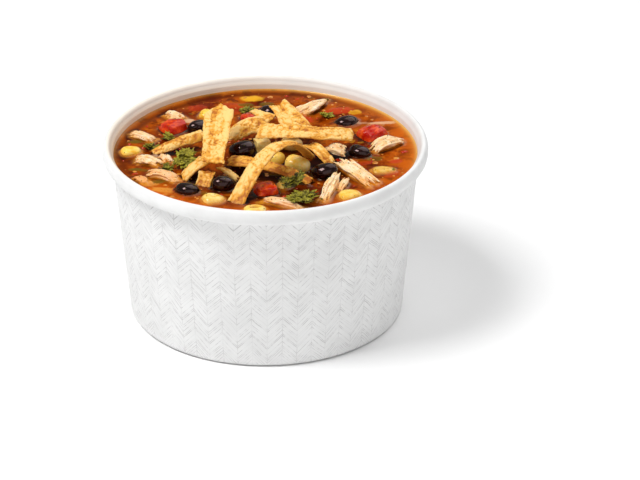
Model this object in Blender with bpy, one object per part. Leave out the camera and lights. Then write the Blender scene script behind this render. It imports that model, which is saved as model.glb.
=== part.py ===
"""Chicken tortilla soup in a round paper bowl.

Metres, +Z up, the origin at the centre of the bowl's base. The bowl, its floor, the broth
and every larger topping are separate closed solids. Heights of toppings are measured from
the broth's surface, and the broth has a socket round each piece that stands in it.
"""

import math
import random

import bmesh
import bpy
from mathutils import Matrix, Vector, noise

MM = 0.001
UP = Vector((0.0, 0.0, 1.0))

# Bowl of about one litre, with a standard lid size at its rim
RIM_RADIUS = 75.0 * MM
BASE_RADIUS = 63.75 * MM
BOWL_HEIGHT = 83.5 * MM
BEAD_WIDTH = 4.0 * MM
BEAD_HEIGHT = 7.0 * MM
WALL = 0.7 * MM
NECK_RADIUS = 70.6 * MM
HEM_WIDTH = 1.6 * MM
HEM_HEIGHT = 5.5 * MM
HEM_STEP = 0.4 * MM
FLOOR_THICKNESS = 0.7 * MM
NECK_TUCK = 0.8 * MM
LIP_DROP = 1.5 * MM
BEAD_ANGLES = (-90, 150)
BEAD_STEPS = 8
SEGMENTS = 60

# Broth
BROTH_LEVEL = 77.0 * MM
MENISCUS_RISE = 0.8 * MM
MENISCUS_WIDTH = 3.0 * MM
MENISCUS_BEND = (0.35, 0.3)
GAP = 0.3 * MM
SOCKET_GAP = 0.4 * MM
SHELL_MOST = 2.2

# Toppings
CURVE_STEP = 0.01
STRIP_STATIONS = 11
STRIP_THICKNESS = 1.35 * MM
STRIP_WARP = 0.9 * MM
STRIP_RAGGED = 0.7 * MM
STRIP_BLISTER = 0.1 * MM
STRIP_TORN = 1.0 * MM
SHRED_STATIONS = 8
SHRED_SIDES = 8
SHRED_FRAY = 1.4 * MM
SHRED_TWIST = 0.25
SHRED_SWELL = 0.14
SHRED_UNEVEN = 0.3
BEAN_SIZE = (11.2 * MM, 8.0 * MM, 7.4 * MM)
BEAN_BEND = 0.18
BALL_RINGS = 6
BEAN_SIDES = 11
KERNEL_SIDES = 10
KERNEL_ROUNDING = 0.75
KERNEL_PINCH = 0.2
KERNEL_SLOPE = 0.12
KERNEL_LUMP = 0.05
CUBE_ROUND_RADIUS = 1.18
CUBE_UNEVEN = 0.16
CUBE_FILL = 0.9
TOMATO_ROUNDNESS = 0.6
POTATO_ROUNDNESS = 0.3
LEAF_THICKNESS = 0.6 * MM
LEAF_POINTS = 14
LEAF_RINGS = (0.52, 1.0)
LEAF_MIDDLE = Vector((0.48, 0.0, 0.0))
LEAF_HALF_LENGTH = 0.62
LEAF_HALF_WIDTH = 0.7
LEAF_LOBES = (0.62, 0.26, 0.14)
LEAF_WAVE = 0.16
LEAF_FRILL = 0.1

# Fried tortilla strips, in millimetres. Each has its two ends and the crest between them as
# (x, y, height), its width at both ends, its roll in degrees and the depth of its crease
STRIPS = {
    "strip_tall": ((-24, -32, 10.5), (-22.5, -15.6, 17), (-20.7, 3, 22.2), (10, 13.5), (4, -3), -0.9),
    "strip_left_leg": ((-26.6, -20.5, 7.6), (-31.5, -25, 5.6), (-37.5, -27.4, 0.2), (8.5, 7), (2, 6), 0.5),
    "strip_short_leg": ((-26.4, -29.6, 5.4), (-27.4, -33, 3.2), (-28.6, -36, -0.6), (7, 7), (0, 6), -0.5),
    "strip_folded": ((-15.4, 6, 5), (-8, 10, 9), (0.3, 12, 8.4), (5.5, 8.4), (52, 34), 0.7),
    "strip_wide": ((16, 5.4, 8), (11, 17.4, 10.5), (5.5, 30, 12), (15, 9), (6, -4), -0.5),
    "strip_prong": ((1.4, 17.5, 9.2), (-1.8, 22, 9.4), (-5.6, 29.5, 8), (6.4, 4), (-8, 4), 0.3),
    "strip_long": ((-4, 0, 11.5), (18, -2.6, 11.6), (41, 4.6, 6.4), (9.4, 8.6), (20, 16), 0.3),
    "strip_crumpled": ((21, -7, 7.2), (25, -12, 6), (30, -16, 1.9), (6.6, 5.2), (0, 18), -0.9),
    "strip_arch": ((-14, -53, -0.8), (4, -30, 17), (20.6, -15.4, 5), (8, 6.6), (10, -12), 0.6),
    "strip_under": ((-16, -18, 4.8), (2.4, -26, 5.6), (21, -32.8, 0.6), (7, 4.6), (16, 26), 0.5),
    "strip_small": ((-21, -25.6, 4.6), (-17, -28, 3.6), (-12.8, -30, 0.6), (3.8, 3.4), (-20, 20), 0.2),
    "strip_back_arc": ((-52, -0.5, 0.4), (-41, 1.6, 4.8), (-28.8, 6, 6.4), (4.4, 6), (40, 34), 0.6),
}

# How far the far end of a strip is torn back, in millimetres: its left, middle and right
TEARS = {
    "strip_tall": (-7, 1.6, -3.4),
    "strip_wide": (-1, -3, 1),
    "strip_arch": (0, 1, -1),
}

# Shredded chicken, in millimetres: the ends and crest as above, width, thickness and seed
SHREDS = {
    "chicken_left": ((-62.5, 22, -0.2), (-57, 17, 1.1), (-51.4, 13, -0.2), 6.2, 3.4, 3),
    "chicken_flat": ((-59, -6.4, 0.2), (-54, -8.5, 1.1), (-48.5, -13, 0), 7.4, 3.6, 11),
    "chicken_bit": ((-47.5, -4, 0.5), (-46, -6.4, 1.3), (-44, -10, 0.3), 3.8, 3, 5),
    "chicken_front_left": ((-53, -22.5, 0.4), (-46, -25, 1.6), (-39.5, -29.6, 0), 6.8, 3.8, 8),
    "chicken_pink": ((-58.5, -25.5, -0.2), (-56, -28.5, 0.7), (-53.5, -32, -0.2), 4.8, 3, 13),
    "chicken_back": ((-46, 43, 0), (-43, 40, 0.9), (-39, 36.5, 0), 6.4, 3.4, 17),
    "chicken_wedge": ((14.5, 43, 0), (21, 48.5, 1.8), (29, 57, 0.6), 9.6, 4, 19),
    "chicken_right": ((49.4, 1, 0.2), (55.5, 6, 2), (63, 11, 0.4), 7.8, 4.6, 29),
    "chicken_long": ((35, -13.4, 1.6), (41, -23.5, 1.6), (49, -34.5, -0.2), 8.6, 4, 31),
    "chicken_upright": ((25.5, -51, -0.4), (29, -39.5, 2), (32, -29, 3), 5.4, 3.8, 37),
    "chicken_upright_thin": ((32.6, -40.6, 0), (34.6, -35.4, 1.2), (37, -30.4, 1.2), 3.6, 3.2, 41),
    "chicken_front": ((-0.5, -50.5, 0.6), (8.5, -55, 1.4), (18, -60, -0.2), 6.2, 3.4, 43),
    "chicken_chunk": ((28.5, -1.6, 3), (32.5, -5, 4.2), (36.4, -6.4, 3), 8, 4.4, 47),
}

# Black beans, in millimetres and degrees: the centre, heading, pitch and size factor
BEANS = {
    "bean_middle": ((-10.6, -9, 5.6), 12, -10, 1.14),
    "bean_tall_strip": ((-31.3, 26, 1.2), 40, 6, 0.94),
    "bean_front": ((-18.6, -36.6, 1.8), 30, 14, 1.04),
    "bean_left": ((-35.5, -40, 0.2), -16, 0, 1.04),
    "bean_arch": ((26.6, -25.4, 2.2), -14, -16, 1.1),
    "bean_right": ((43, -3, 0.9), -32, 0, 1.0),
    "bean_back_right": ((38.5, 32, -0.4), 24, 0, 1.04),
    "bean_back": ((2, 46, -0.6), -30, 0, 0.9),
}

# Sweetcorn and hominy, in millimetres and degrees: the centre, size, heading and pitch
KERNELS = {
    "corn_left": ((-62, 1.4, 0), (9.6, 7.4, 5.6), 18, 0),
    "corn_front": ((-23.5, -49, -0.2), (10.4, 8, 6), 10, 6),
    "corn_rim": ((-4.8, -59.6, -0.4), (10.4, 7, 5.6), 8, 0),
    "corn_back": ((-26.5, 40.5, 0.2), (9.4, 7.6, 5.8), -20, 0),
    "corn_behind": ((-36.6, 14.6, -0.2), (8.6, 6.6, 5), 30, 0),
    "corn_front_right": ((37.6, -46, -0.2), (10.6, 7.8, 5.8), 20, 0),
    "corn_right": ((53.6, -20, -0.8), (10.6, 6.6, 5), 6, 0),
    "corn_herb": ((8.4, -35.4, 0), (7.6, 6, 5), 40, 0),
    "hominy_arch": ((14.6, -17.6, 2.2), (11.6, 8.8, 7.8), -24, 8),
    "hominy_behind": ((12, 4.6, 2.4), (10, 7, 6), -14, 0),
    "hominy_under": ((4.8, -10, 1.6), (8.4, 7.6, 7), 50, 10),
}

# Diced pieces, in millimetres and degrees: the centre, size, heading and kind
CUBES = {
    "tomato_left": ((-42.8, 26, 0.6), (12.5, 11, 8), 40, "tomato"),
    "tomato_right": ((50, 16.6, 0.6), (13.5, 12, 9), 38, "tomato"),
    "tomato_front": ((0.2, -41.5, 0.4), (11, 10, 8.4), 15, "tomato"),
    "tomato_back": ((-8, 37, -0.2), (8, 7, 6), 20, "tomato"),
    "potato_cube": ((-1.6, 0.6, 4), (7.4, 6, 6), 24, "potato"),
}

# Herb leaves, in millimetres and degrees: the stalk end, length, heading, tilt and seed
LEAVES = {
    "leaf_left": ((-48.6, 4.4, 0.8), 8, 156, 6, 2),
    "leaf_far_left": ((-41.8, 16.6, 0.8), 7, 196, 6, 4),
    "leaf_big": ((-42, -17.6, 1.2), 14.6, 52, 20, 5),
    "leaf_side": ((-41, -17.6, 0.5), 8, 176, 6, 9),
    "leaf_front": ((8.8, -46.6, 1.5), 16.5, -30, 10, 12),
    "leaf_front_top": ((6.6, -43, 3.2), 12.5, 12, 22, 15),
    "leaf_back": ((-13, 45, 0.4), 9, 14, 6, 21),
    "leaf_behind": ((33.4, 41, 0.4), 8.6, 196, 6, 33),
}


def clear_scene():
    for obj in list(bpy.data.objects):
        bpy.data.objects.remove(obj, do_unlink=True)


def material(name, color, roughness, coat=0.0):
    made = bpy.data.materials.new(name)
    made.use_nodes = True
    shader = made.node_tree.nodes["Principled BSDF"]
    shader.inputs["Base Color"].default_value = (*color, 1.0)
    shader.inputs["Roughness"].default_value = roughness
    shader.inputs["Metallic"].default_value = 0.0
    shader.inputs["Coat Weight"].default_value = coat
    return made


def add_object(name, mesh, surface, collection=None):
    obj = bpy.data.objects.new(name, mesh)
    mesh.materials.append(surface)
    (collection or bpy.context.scene.collection).objects.link(obj)
    return obj


def finish_mesh(name, build, smooth=True):
    """Turns a bmesh into a mesh of triangles with its faces pointing out."""
    bmesh.ops.recalc_face_normals(build, faces=build.faces)
    bmesh.ops.triangulate(build, faces=build.faces)
    mesh = bpy.data.meshes.new(name)
    build.to_mesh(mesh)
    build.free()
    if smooth:
        mesh.shade_smooth()
        mesh.set_sharp_from_angle(angle=math.radians(50))
    return mesh


def to_metres(point):
    """A topping's point in millimetres, its height counted from the broth, in metres."""
    x, y, height = point
    return Vector((x * MM, y * MM, BROTH_LEVEL + height * MM))


def lerp(a, b, t):
    return a + (b - a) * t


# Turned pieces


def turned(name, profile):
    """A closed ring or disc turned about Z from (radius, height) points, with none repeated."""
    build = bmesh.new()
    rings = []
    for radius, height in profile:
        if radius == 0.0:
            rings.append([build.verts.new((0.0, 0.0, height))])
            continue
        ring = []
        for step in range(SEGMENTS):
            angle = 2 * math.pi * step / SEGMENTS
            ring.append(build.verts.new((radius * math.cos(angle), radius * math.sin(angle), height)))
        rings.append(ring)
    closes = profile[0][0] != 0.0
    pairs = list(zip(rings, rings[1:]))
    if closes:
        pairs.append((rings[-1], rings[0]))
    for lower, upper in pairs:
        for step in range(SEGMENTS):
            after = (step + 1) % SEGMENTS
            if len(lower) == 1:
                build.faces.new((lower[0], upper[step], upper[after]))
            elif len(upper) == 1:
                build.faces.new((lower[step], lower[after], upper[0]))
            else:
                build.faces.new((lower[step], lower[after], upper[after], upper[step]))
    return finish_mesh(name, build)


def wall_radius(height):
    """Outer radius of the tapered wall at a height."""
    return lerp(BASE_RADIUS, NECK_RADIUS, height / (BOWL_HEIGHT - BEAD_HEIGHT))


def bead_points():
    """The rolled rim from its foot on the wall, round its outside, to its inner edge."""
    middle_radius = RIM_RADIUS - BEAD_WIDTH / 2
    middle_height = BOWL_HEIGHT - BEAD_HEIGHT / 2
    points = []
    for step in range(BEAD_STEPS + 1):
        angle = math.radians(lerp(*BEAD_ANGLES, step / BEAD_STEPS))
        radius = middle_radius + BEAD_WIDTH / 2 * math.cos(angle)
        points.append((radius, middle_height + BEAD_HEIGHT / 2 * math.sin(angle)))
    return points


def bowl_profile():
    bead = bead_points()
    neck = bead[0][1] + NECK_TUCK
    outside = [(BASE_RADIUS - HEM_WIDTH, 0.0), (BASE_RADIUS, 0.0), (wall_radius(neck), neck)]
    inner_neck = bead[-1][1] - LIP_DROP
    inside = [
        (wall_radius(inner_neck) - WALL, inner_neck),
        (wall_radius(HEM_HEIGHT) - WALL, HEM_HEIGHT + HEM_STEP),
        (wall_radius(HEM_HEIGHT) - HEM_WIDTH, HEM_HEIGHT),
    ]
    return outside + bead + inside


def make_bowl(paper):
    add_object("bowl_wall", turned("bowl_wall", bowl_profile()), paper)
    bottom = HEM_HEIGHT + GAP + HEM_STEP
    radius = wall_radius(bottom) - WALL - GAP
    profile = [(0.0, bottom), (radius, bottom), (radius, bottom + FLOOR_THICKNESS)]
    profile.append((0.0, bottom + FLOOR_THICKNESS))
    add_object("bowl_floor", turned("bowl_floor", profile), paper)
    return bottom + FLOOR_THICKNESS + GAP


def make_broth(bottom, liquid):
    edge = wall_radius(BROTH_LEVEL) - WALL - GAP
    foot = wall_radius(bottom) - WALL - GAP
    profile = [
        (0.0, bottom),
        (foot, bottom),
        (edge, BROTH_LEVEL + MENISCUS_RISE),
        (edge - MENISCUS_WIDTH * MENISCUS_BEND[0], BROTH_LEVEL + MENISCUS_RISE * MENISCUS_BEND[1]),
        (edge - MENISCUS_WIDTH, BROTH_LEVEL),
        (0.0, BROTH_LEVEL),
    ]
    return add_object("broth", turned("broth", profile), liquid)


# Strips and shreds, which follow a curve through their crest


def curve_point(ends, t):
    """A point of the parabola through the start, the crest at t = 0.5, and the end."""
    start, crest, end = ends
    control = crest * 2 - (start + end) / 2
    return start * (1 - t) ** 2 + control * (2 * t * (1 - t)) + end * t**2


def curve_frame(ends, t):
    """The point, the direction along the curve, and the side and normal across it."""
    along = curve_point(ends, t + CURVE_STEP) - curve_point(ends, t - CURVE_STEP)
    along.normalize()
    across = (ends[2] - ends[0]).cross(UP)
    across = (across - along * across.dot(along)).normalized()
    return curve_point(ends, t), along, across, across.cross(along)


def bridge(build, rings):
    """Joins rings of the same length and closes each end with a fan."""
    count = len(rings[0])
    for lower, upper in zip(rings, rings[1:]):
        for index in range(count):
            after = (index + 1) % count
            build.faces.new((lower[index], lower[after], upper[after], upper[index]))
    for ring in (rings[0], rings[-1]):
        middle = build.verts.new(sum((vert.co for vert in ring), Vector()) / count)
        for index in range(count):
            build.faces.new((ring[index], ring[(index + 1) % count], middle))


def strip_mesh(name, ends, widths, rolls, crease):
    """A thin fried strip: it warps, its edges are ragged and its ends are torn."""
    draw = random.Random(name)
    build = bmesh.new()
    shift = Vector((draw.uniform(-50, 50), draw.uniform(-50, 50), 0.0))
    torn = [[draw.uniform(-STRIP_TORN, STRIP_TORN) for _ in range(3)] for _ in range(2)]
    if name in TEARS:
        torn[1] = [depth * MM for depth in TEARS[name]]
    rings = []
    for station in range(STRIP_STATIONS):
        t = station / (STRIP_STATIONS - 1)
        point, along, across, normal = curve_frame(ends, t)
        turn = Matrix.Rotation(math.radians(lerp(*rolls, t)), 3, along)
        across = turn @ across
        normal = turn @ normal
        width = lerp(*widths, t) * MM
        warp = noise.noise(shift + UP * t * 4.0) * STRIP_WARP
        ring = []
        for side, place in ((-1, 0), (0, 1), (1, 2), (1, 2), (0, 1), (-1, 0)):
            top = len(ring) < 3
            ragged = noise.noise(shift + Vector((side * 3.0, 7.0, t * 9.0))) * STRIP_RAGGED
            blister = abs(noise.noise(shift + Vector((side * 2.0, 20.0 * top, t * 11.0)))) * STRIP_BLISTER
            spot = point + across * side * (width / 2 + ragged)
            spot += normal * (warp + (1 - abs(side)) * crease * MM)
            spot += normal * (1 if top else -1) * (STRIP_THICKNESS / 2 + blister)
            if station == 0:
                spot += along * torn[0][place]
            if station == STRIP_STATIONS - 1:
                spot += along * torn[1][place]
            ring.append(build.verts.new(spot))
        rings.append(ring)
    bridge(build, rings)
    return finish_mesh(name, build)


def shred_mesh(name, ends, width, thickness, seed):
    """A pulled piece of chicken: ridged along its fibres, blunt at one end, thin at the other."""
    draw = random.Random(seed)
    build = bmesh.new()
    ridges = [draw.uniform(1.0, 1.2) - 0.29 * (index % 2) for index in range(SHRED_SIDES)]
    frayed = [[draw.uniform(-SHRED_FRAY, SHRED_FRAY) for _ in range(SHRED_SIDES)] for _ in range(2)]
    phase = draw.uniform(0, 6)
    rings = []
    for station in range(SHRED_STATIONS):
        t = station / (SHRED_STATIONS - 1)
        point, along, across, normal = curve_frame(ends, t)
        turn = Matrix.Rotation(SHRED_TWIST * math.sin(phase + 3 * t), 3, along)
        fullness = 0.3 + 0.7 * math.sin(math.pi * (0.2 + 0.74 * t)) ** 0.6
        fullness *= 1 + SHRED_SWELL * math.sin(phase * 2 + 7 * t)
        ring = []
        for index in range(SHRED_SIDES):
            angle = 2 * math.pi * (index + 0.5) / SHRED_SIDES
            out = across * math.cos(angle) * width / 2 + normal * math.sin(angle) * thickness / 2
            uneven = 1 + SHRED_UNEVEN * noise.noise(Vector((seed * 7.0, index * 5.0, t * 3.5)))
            spot = point + turn @ out * MM * fullness * ridges[index] * uneven
            if station == 0:
                spot += along * frayed[0][index]
            if station == SHRED_STATIONS - 1:
                spot += along * frayed[1][index]
            ring.append(build.verts.new(spot))
        rings.append(ring)
    bridge(build, rings)
    return finish_mesh(name, build)


# Rounded pieces


def ball(build, rings, sides, shape):
    """A closed ball of points shape(around, up), with one point at each pole."""
    rows = []
    for ring in range(1, rings):
        up = math.pi * (ring / rings - 0.5)
        row = [build.verts.new(shape(2 * math.pi * side / sides, up)) for side in range(sides)]
        rows.append(row)
    bottom = build.verts.new(shape(0.0, -math.pi / 2))
    top = build.verts.new(shape(0.0, math.pi / 2))
    for lower, upper in zip(rows, rows[1:]):
        for side in range(sides):
            after = (side + 1) % sides
            build.faces.new((lower[side], lower[after], upper[after], upper[side]))
    for side in range(sides):
        after = (side + 1) % sides
        build.faces.new((bottom, rows[0][after], rows[0][side]))
        build.faces.new((top, rows[-1][side], rows[-1][after]))


def placed(mesh, center, heading, pitch=0.0):
    """Turns a mesh made at the origin and moves it to its place."""
    turn = Matrix.Rotation(math.radians(heading), 4, "Z") @ Matrix.Rotation(math.radians(pitch), 4, "Y")
    mesh.transform(Matrix.Translation(to_metres(center)) @ turn)
    return mesh


def bean_mesh(name, factor):
    """A bean is an ellipsoid bent like a kidney."""
    build = bmesh.new()
    length, width, height = (size * factor / 2 for size in BEAN_SIZE)

    def shape(around, up):
        x = length * math.cos(up) * math.cos(around)
        y = width * math.cos(up) * math.sin(around)
        bend = BEAN_BEND * width * (x / length) ** 2
        return (x, y + bend, height * math.sin(up))

    ball(build, BALL_RINGS, BEAN_SIDES, shape)
    return finish_mesh(name, build)


def kernel_mesh(name, size):
    """A kernel is a rounded wedge, broad at one end and pinched at the other."""
    draw = random.Random(name)
    build = bmesh.new()
    length, width, height = (value * MM / 2 for value in size)
    lumps = [draw.uniform(0, 6) for _ in range(2)]

    def rounded(value):
        return math.copysign(abs(value) ** KERNEL_ROUNDING, value)

    def shape(around, up):
        x = rounded(math.cos(up)) * rounded(math.cos(around))
        y = rounded(math.cos(up)) * rounded(math.sin(around))
        z = rounded(math.sin(up))
        pinch = 1 - KERNEL_PINCH * x
        lump = 1 + KERNEL_LUMP * math.sin(lumps[0] + 3 * around) * math.cos(lumps[1] + 2 * up)
        slope = 1 - KERNEL_SLOPE * x
        return (x * length * lump, y * width * pinch * lump, z * height * slope * lump)

    ball(build, BALL_RINGS, KERNEL_SIDES, shape)
    return finish_mesh(name, build)


def cube_mesh(name, size, roundness):
    """A diced piece: a block with rounded corners and uneven sides."""
    draw = random.Random(name)
    build = bmesh.new()
    bmesh.ops.create_cube(build, size=2.0)
    bmesh.ops.subdivide_edges(build, edges=build.edges[:], cuts=2, use_grid_fill=True)
    shift = Vector((draw.uniform(-20, 20), draw.uniform(-20, 20), draw.uniform(-20, 20)))
    for vert in build.verts:
        round_place = vert.co.normalized() * CUBE_ROUND_RADIUS
        place = vert.co.lerp(round_place, roundness)
        place *= 1 + CUBE_UNEVEN * noise.noise(shift + place)
        vert.co = Vector([place[axis] * size[axis] * MM / 2 * CUBE_FILL for axis in range(3)])
    return finish_mesh(name, build)


def leaf_point(shift, angle, fraction):
    """A point of a leaf one unit long, at a share of the way from its middle to its edge."""
    body, tip, lobes = LEAF_LOBES
    reach = (body + tip * math.cos(angle) + lobes * math.cos(5 * angle) * fraction) * fraction
    side = Vector((math.cos(angle) * LEAF_HALF_LENGTH, math.sin(angle) * LEAF_HALF_WIDTH, 0.0))
    flat = side * reach + LEAF_MIDDLE
    wave = noise.noise(shift + flat * 2.6) * LEAF_WAVE + LEAF_FRILL * math.sin(4 * angle) * fraction**2
    return flat + UP * wave


def leaf_mesh(name, length, seed):
    """A lobed leaf from its stalk end: two like faces, a thickness apart, waved together."""
    draw = random.Random(seed)
    build = bmesh.new()
    shift = Vector((draw.uniform(-20, 20), draw.uniform(-20, 20), 0.0))
    edges = []
    for offset in (UP * LEAF_THICKNESS / 2, -UP * LEAF_THICKNESS / 2):
        center = build.verts.new(leaf_point(shift, 0.0, 0.0) * length * MM + offset)
        rows = []
        for fraction in LEAF_RINGS:
            angles = [2 * math.pi * index / LEAF_POINTS for index in range(LEAF_POINTS)]
            points = [leaf_point(shift, angle, fraction) * length * MM + offset for angle in angles]
            rows.append([build.verts.new(point) for point in points])
        inner, outer = rows
        for index in range(LEAF_POINTS):
            after = (index + 1) % LEAF_POINTS
            build.faces.new((center, inner[index], inner[after]))
            build.faces.new((inner[index], outer[index], outer[after]))
            build.faces.new((inner[index], outer[after], inner[after]))
        edges.append(outer)
    upper, lower = edges
    for index in range(LEAF_POINTS):
        after = (index + 1) % LEAF_POINTS
        build.faces.new((upper[index], lower[index], lower[after]))
        build.faces.new((upper[index], lower[after], upper[after]))
    return finish_mesh(name, build)


# Toppings in their places


def make_toppings():
    made = []
    fried = material("tortilla", (0.83, 0.55, 0.20), 0.55)
    for name, (start, crest, end, widths, rolls, crease) in STRIPS.items():
        ends = (to_metres(start), to_metres(crest), to_metres(end))
        made.append(add_object(name, strip_mesh(name, ends, widths, rolls, crease), fried))
    meat = material("chicken", (0.80, 0.58, 0.38), 0.45, 0.3)
    for name, (start, crest, end, width, thickness, seed) in SHREDS.items():
        ends = (to_metres(start), to_metres(crest), to_metres(end))
        made.append(add_object(name, shred_mesh(name, ends, width, thickness, seed), meat))
    skin = material("black_bean", (0.012, 0.006, 0.010), 0.16, 0.5)
    for name, (center, heading, pitch, factor) in BEANS.items():
        mesh = placed(bean_mesh(name, factor), center, heading, pitch)
        made.append(add_object(name, mesh, skin))
    grain = material("corn", (0.86, 0.58, 0.14), 0.3, 0.4)
    for name, (center, size, heading, pitch) in KERNELS.items():
        mesh = placed(kernel_mesh(name, size), center, heading, pitch)
        made.append(add_object(name, mesh, grain))
    fruit = material("tomato", (0.52, 0.04, 0.015), 0.2, 0.6)
    pale = material("potato", (0.80, 0.62, 0.34), 0.4)
    for name, (center, size, heading, kind) in CUBES.items():
        roundness = TOMATO_ROUNDNESS if kind == "tomato" else POTATO_ROUNDNESS
        mesh = placed(cube_mesh(name, size, roundness), center, heading)
        made.append(add_object(name, mesh, fruit if kind == "tomato" else pale))
    herb = material("herb", (0.10, 0.14, 0.02), 0.45)
    for name, (stalk, length, heading, tilt, seed) in LEAVES.items():
        mesh = placed(leaf_mesh(name, length, seed), stalk, heading, -tilt)
        made.append(add_object(name, mesh, herb))
    return made


def cut_sockets(broth, toppings):
    """Removes the broth round each piece, a small gap wider than the piece."""
    cutters = bpy.data.collections.new("sockets")
    bpy.context.scene.collection.children.link(cutters)
    cutters.hide_render = True
    for piece in toppings:
        build = bmesh.new()
        build.from_mesh(piece.data)
        build.normal_update()
        places = []
        for vert in build.verts:
            reach = SOCKET_GAP * min(vert.calc_shell_factor(), SHELL_MOST)
            places.append(vert.co + vert.normal * reach)
        for vert, place in zip(build.verts, places):
            vert.co = place
        mesh = finish_mesh(piece.name + "_socket", build, smooth=False)
        cutter = add_object(piece.name + "_socket", mesh, broth.data.materials[0], cutters)
        cutter.display_type = "WIRE"
        cutter.hide_render = True
    cut = broth.modifiers.new("sockets", "BOOLEAN")
    cut.operation = "DIFFERENCE"
    cut.operand_type = "COLLECTION"
    cut.collection = cutters


def main():
    clear_scene()
    paper = material("paper", (0.86, 0.86, 0.85), 0.5)
    liquid = material("broth", (0.40, 0.10, 0.02), 0.15, 0.5)
    bottom = make_bowl(paper)
    broth = make_broth(bottom, liquid)
    cut_sockets(broth, make_toppings())


main()
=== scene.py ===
"""Looks of the chicken tortilla soup: paper bowl, broth and toppings in fine detail.

Lengths in this script are millimetres, turned into metres where a mesh is made. The places
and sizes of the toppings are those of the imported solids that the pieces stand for.
"""

import math
import random

import bmesh
import bpy
import numpy as np
from mathutils import Matrix, Vector, noise
from mathutils.bvhtree import BVHTree


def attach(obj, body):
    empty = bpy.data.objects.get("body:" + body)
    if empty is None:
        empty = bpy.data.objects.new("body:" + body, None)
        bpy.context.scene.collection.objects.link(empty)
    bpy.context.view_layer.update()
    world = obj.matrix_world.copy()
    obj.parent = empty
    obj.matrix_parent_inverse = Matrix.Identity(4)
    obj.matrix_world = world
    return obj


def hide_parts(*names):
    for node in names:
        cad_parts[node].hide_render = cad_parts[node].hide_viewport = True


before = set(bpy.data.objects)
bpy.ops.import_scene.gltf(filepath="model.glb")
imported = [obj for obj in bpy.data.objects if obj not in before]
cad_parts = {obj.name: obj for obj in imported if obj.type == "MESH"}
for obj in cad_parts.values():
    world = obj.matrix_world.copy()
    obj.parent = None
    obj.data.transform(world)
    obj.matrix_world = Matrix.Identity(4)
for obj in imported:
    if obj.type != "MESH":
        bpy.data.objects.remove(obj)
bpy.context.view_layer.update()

MM = 0.001
UP = np.array((0.0, 0.0, 1.0))
GOLDEN_ANGLE = 2.39996

# Bowl
RIM_RADIUS = 75.0
BASE_RADIUS = 63.75
BOWL_HEIGHT = 83.5
BEAD_WIDTH = 4.0
BEAD_HEIGHT = 7.0
WALL = 0.7
NECK_RADIUS = 70.6
HEM_WIDTH = 1.6
HEM_HEIGHT = 5.5
SEAM_START = 78.0
SEAM_SPAN = 26
# Broth stain on the lip and the inner wall; above the broth the stain also carries painted bounce light
LIP_STAIN_AND_BOUNCE_LIGHT = 0.07
INNER_STAIN_AND_BOUNCE_LIGHT = 0.12
SOAKED_STAIN = 0.6
FLOOR_TOP = 6.9

# Herringbone print: half columns round the wall, its mean radius, and sets of slanted lines, each
# with its spacing, offset and half width
PRINT_COLUMNS = 60
PRINT_RADIUS = 68
PRINT_LINES = ((3.1, 0.0, 0.15), (5.2, 1.3, 0.13), (8.3, 2.9, 0.15))

# Broth
LEVEL = 77.0
WALL_RISE = 0.9
PIECE_RISE = 0.95

STRIP_THICKNESS = 1.35
BEAN_SIZE = (11.2, 8.0, 7.4)

# Fried strips: start, crest and end (x, y, height over the broth), widths, rolls and crease
STRIPS = {
    "strip_tall": ((-24, -32, 10.5), (-22.5, -15.6, 17), (-20.7, 3, 22.2), (10, 13.5), (4, -3), -0.9),
    "strip_left_leg": (
        (-26.6, -20.5, 7.6), (-31.5, -25, 5.6), (-37.5, -27.4, 0.2), (8.5, 7), (2, 6), 0.5
    ),
    "strip_short_leg": ((-26.4, -29.6, 5.4), (-27.4, -33, 3.2), (-28.6, -36, -0.6), (7, 7), (0, 6), -0.5),
    "strip_folded": ((-15.4, 6, 5), (-8, 10, 9), (0.3, 12, 8.4), (6.4, 10), (46, 28), 0.7),
    "strip_wide": ((16, 5.4, 8), (11, 17.4, 10.5), (5.5, 30, 12), (15, 9), (6, -4), -0.5),
    "strip_prong": ((1.4, 17.5, 9.2), (-1.8, 22, 9.4), (-5.6, 29.5, 8), (8, 4.4), (-8, 4), 0.3),
    "strip_long": ((-4, 0, 11.5), (18, -2.6, 11.6), (41, 4.6, 6.4), (9.4, 8.6), (20, 16), 0.3),
    "strip_crumpled": ((21, -7, 7.2), (25, -12, 6), (30, -16, 1.9), (6.6, 5.2), (0, 18), -0.9),
    "strip_arch": ((-14, -53, -0.8), (4, -30, 17), (20.6, -15.4, 5), (8, 6.6), (10, -12), 0.6),
    "strip_under": ((-16, -18, 4.8), (2.4, -26, 5.6), (21, -32.8, 0.6), (7, 4.6), (16, 26), 0.5),
    "strip_small": ((-21, -25.6, 4.6), (-17, -28, 3.6), (-12.8, -30, 0.6), (3.8, 3.4), (-20, 20), 0.2),
    "strip_back_arc": ((-52, -0.5, 0.4), (-41, 1.6, 4.8), (-28.8, 6, 6.4), (4.4, 6), (40, 34), 0.6),
}

# How far a strip's start or end is moved along it, at one edge, the middle and the other edge
TORN_STARTS = {
    "strip_crumpled": (-4.6, -4, -3.6),
    "strip_prong": (-3, -3, -3),
    "strip_folded": (-1.5, -1, 0.5),
}
TORN_ENDS = {
    "strip_tall": (-4.4, 2.4, -3.0),
    "strip_wide": (-1.6, -2.2, 1.2),
    "strip_arch": (0, 1, -1),
    "strip_long": (0.4, -0.8, -2.8),
}

# Painted shade that makes a strip darker than the rest; below 0 it is painted light that makes it paler
STRIP_PAINTED_SHADE = {"strip_under": 0.38, "strip_folded": -0.16, "strip_arch": -0.10, "strip_tall": -0.07}

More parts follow.
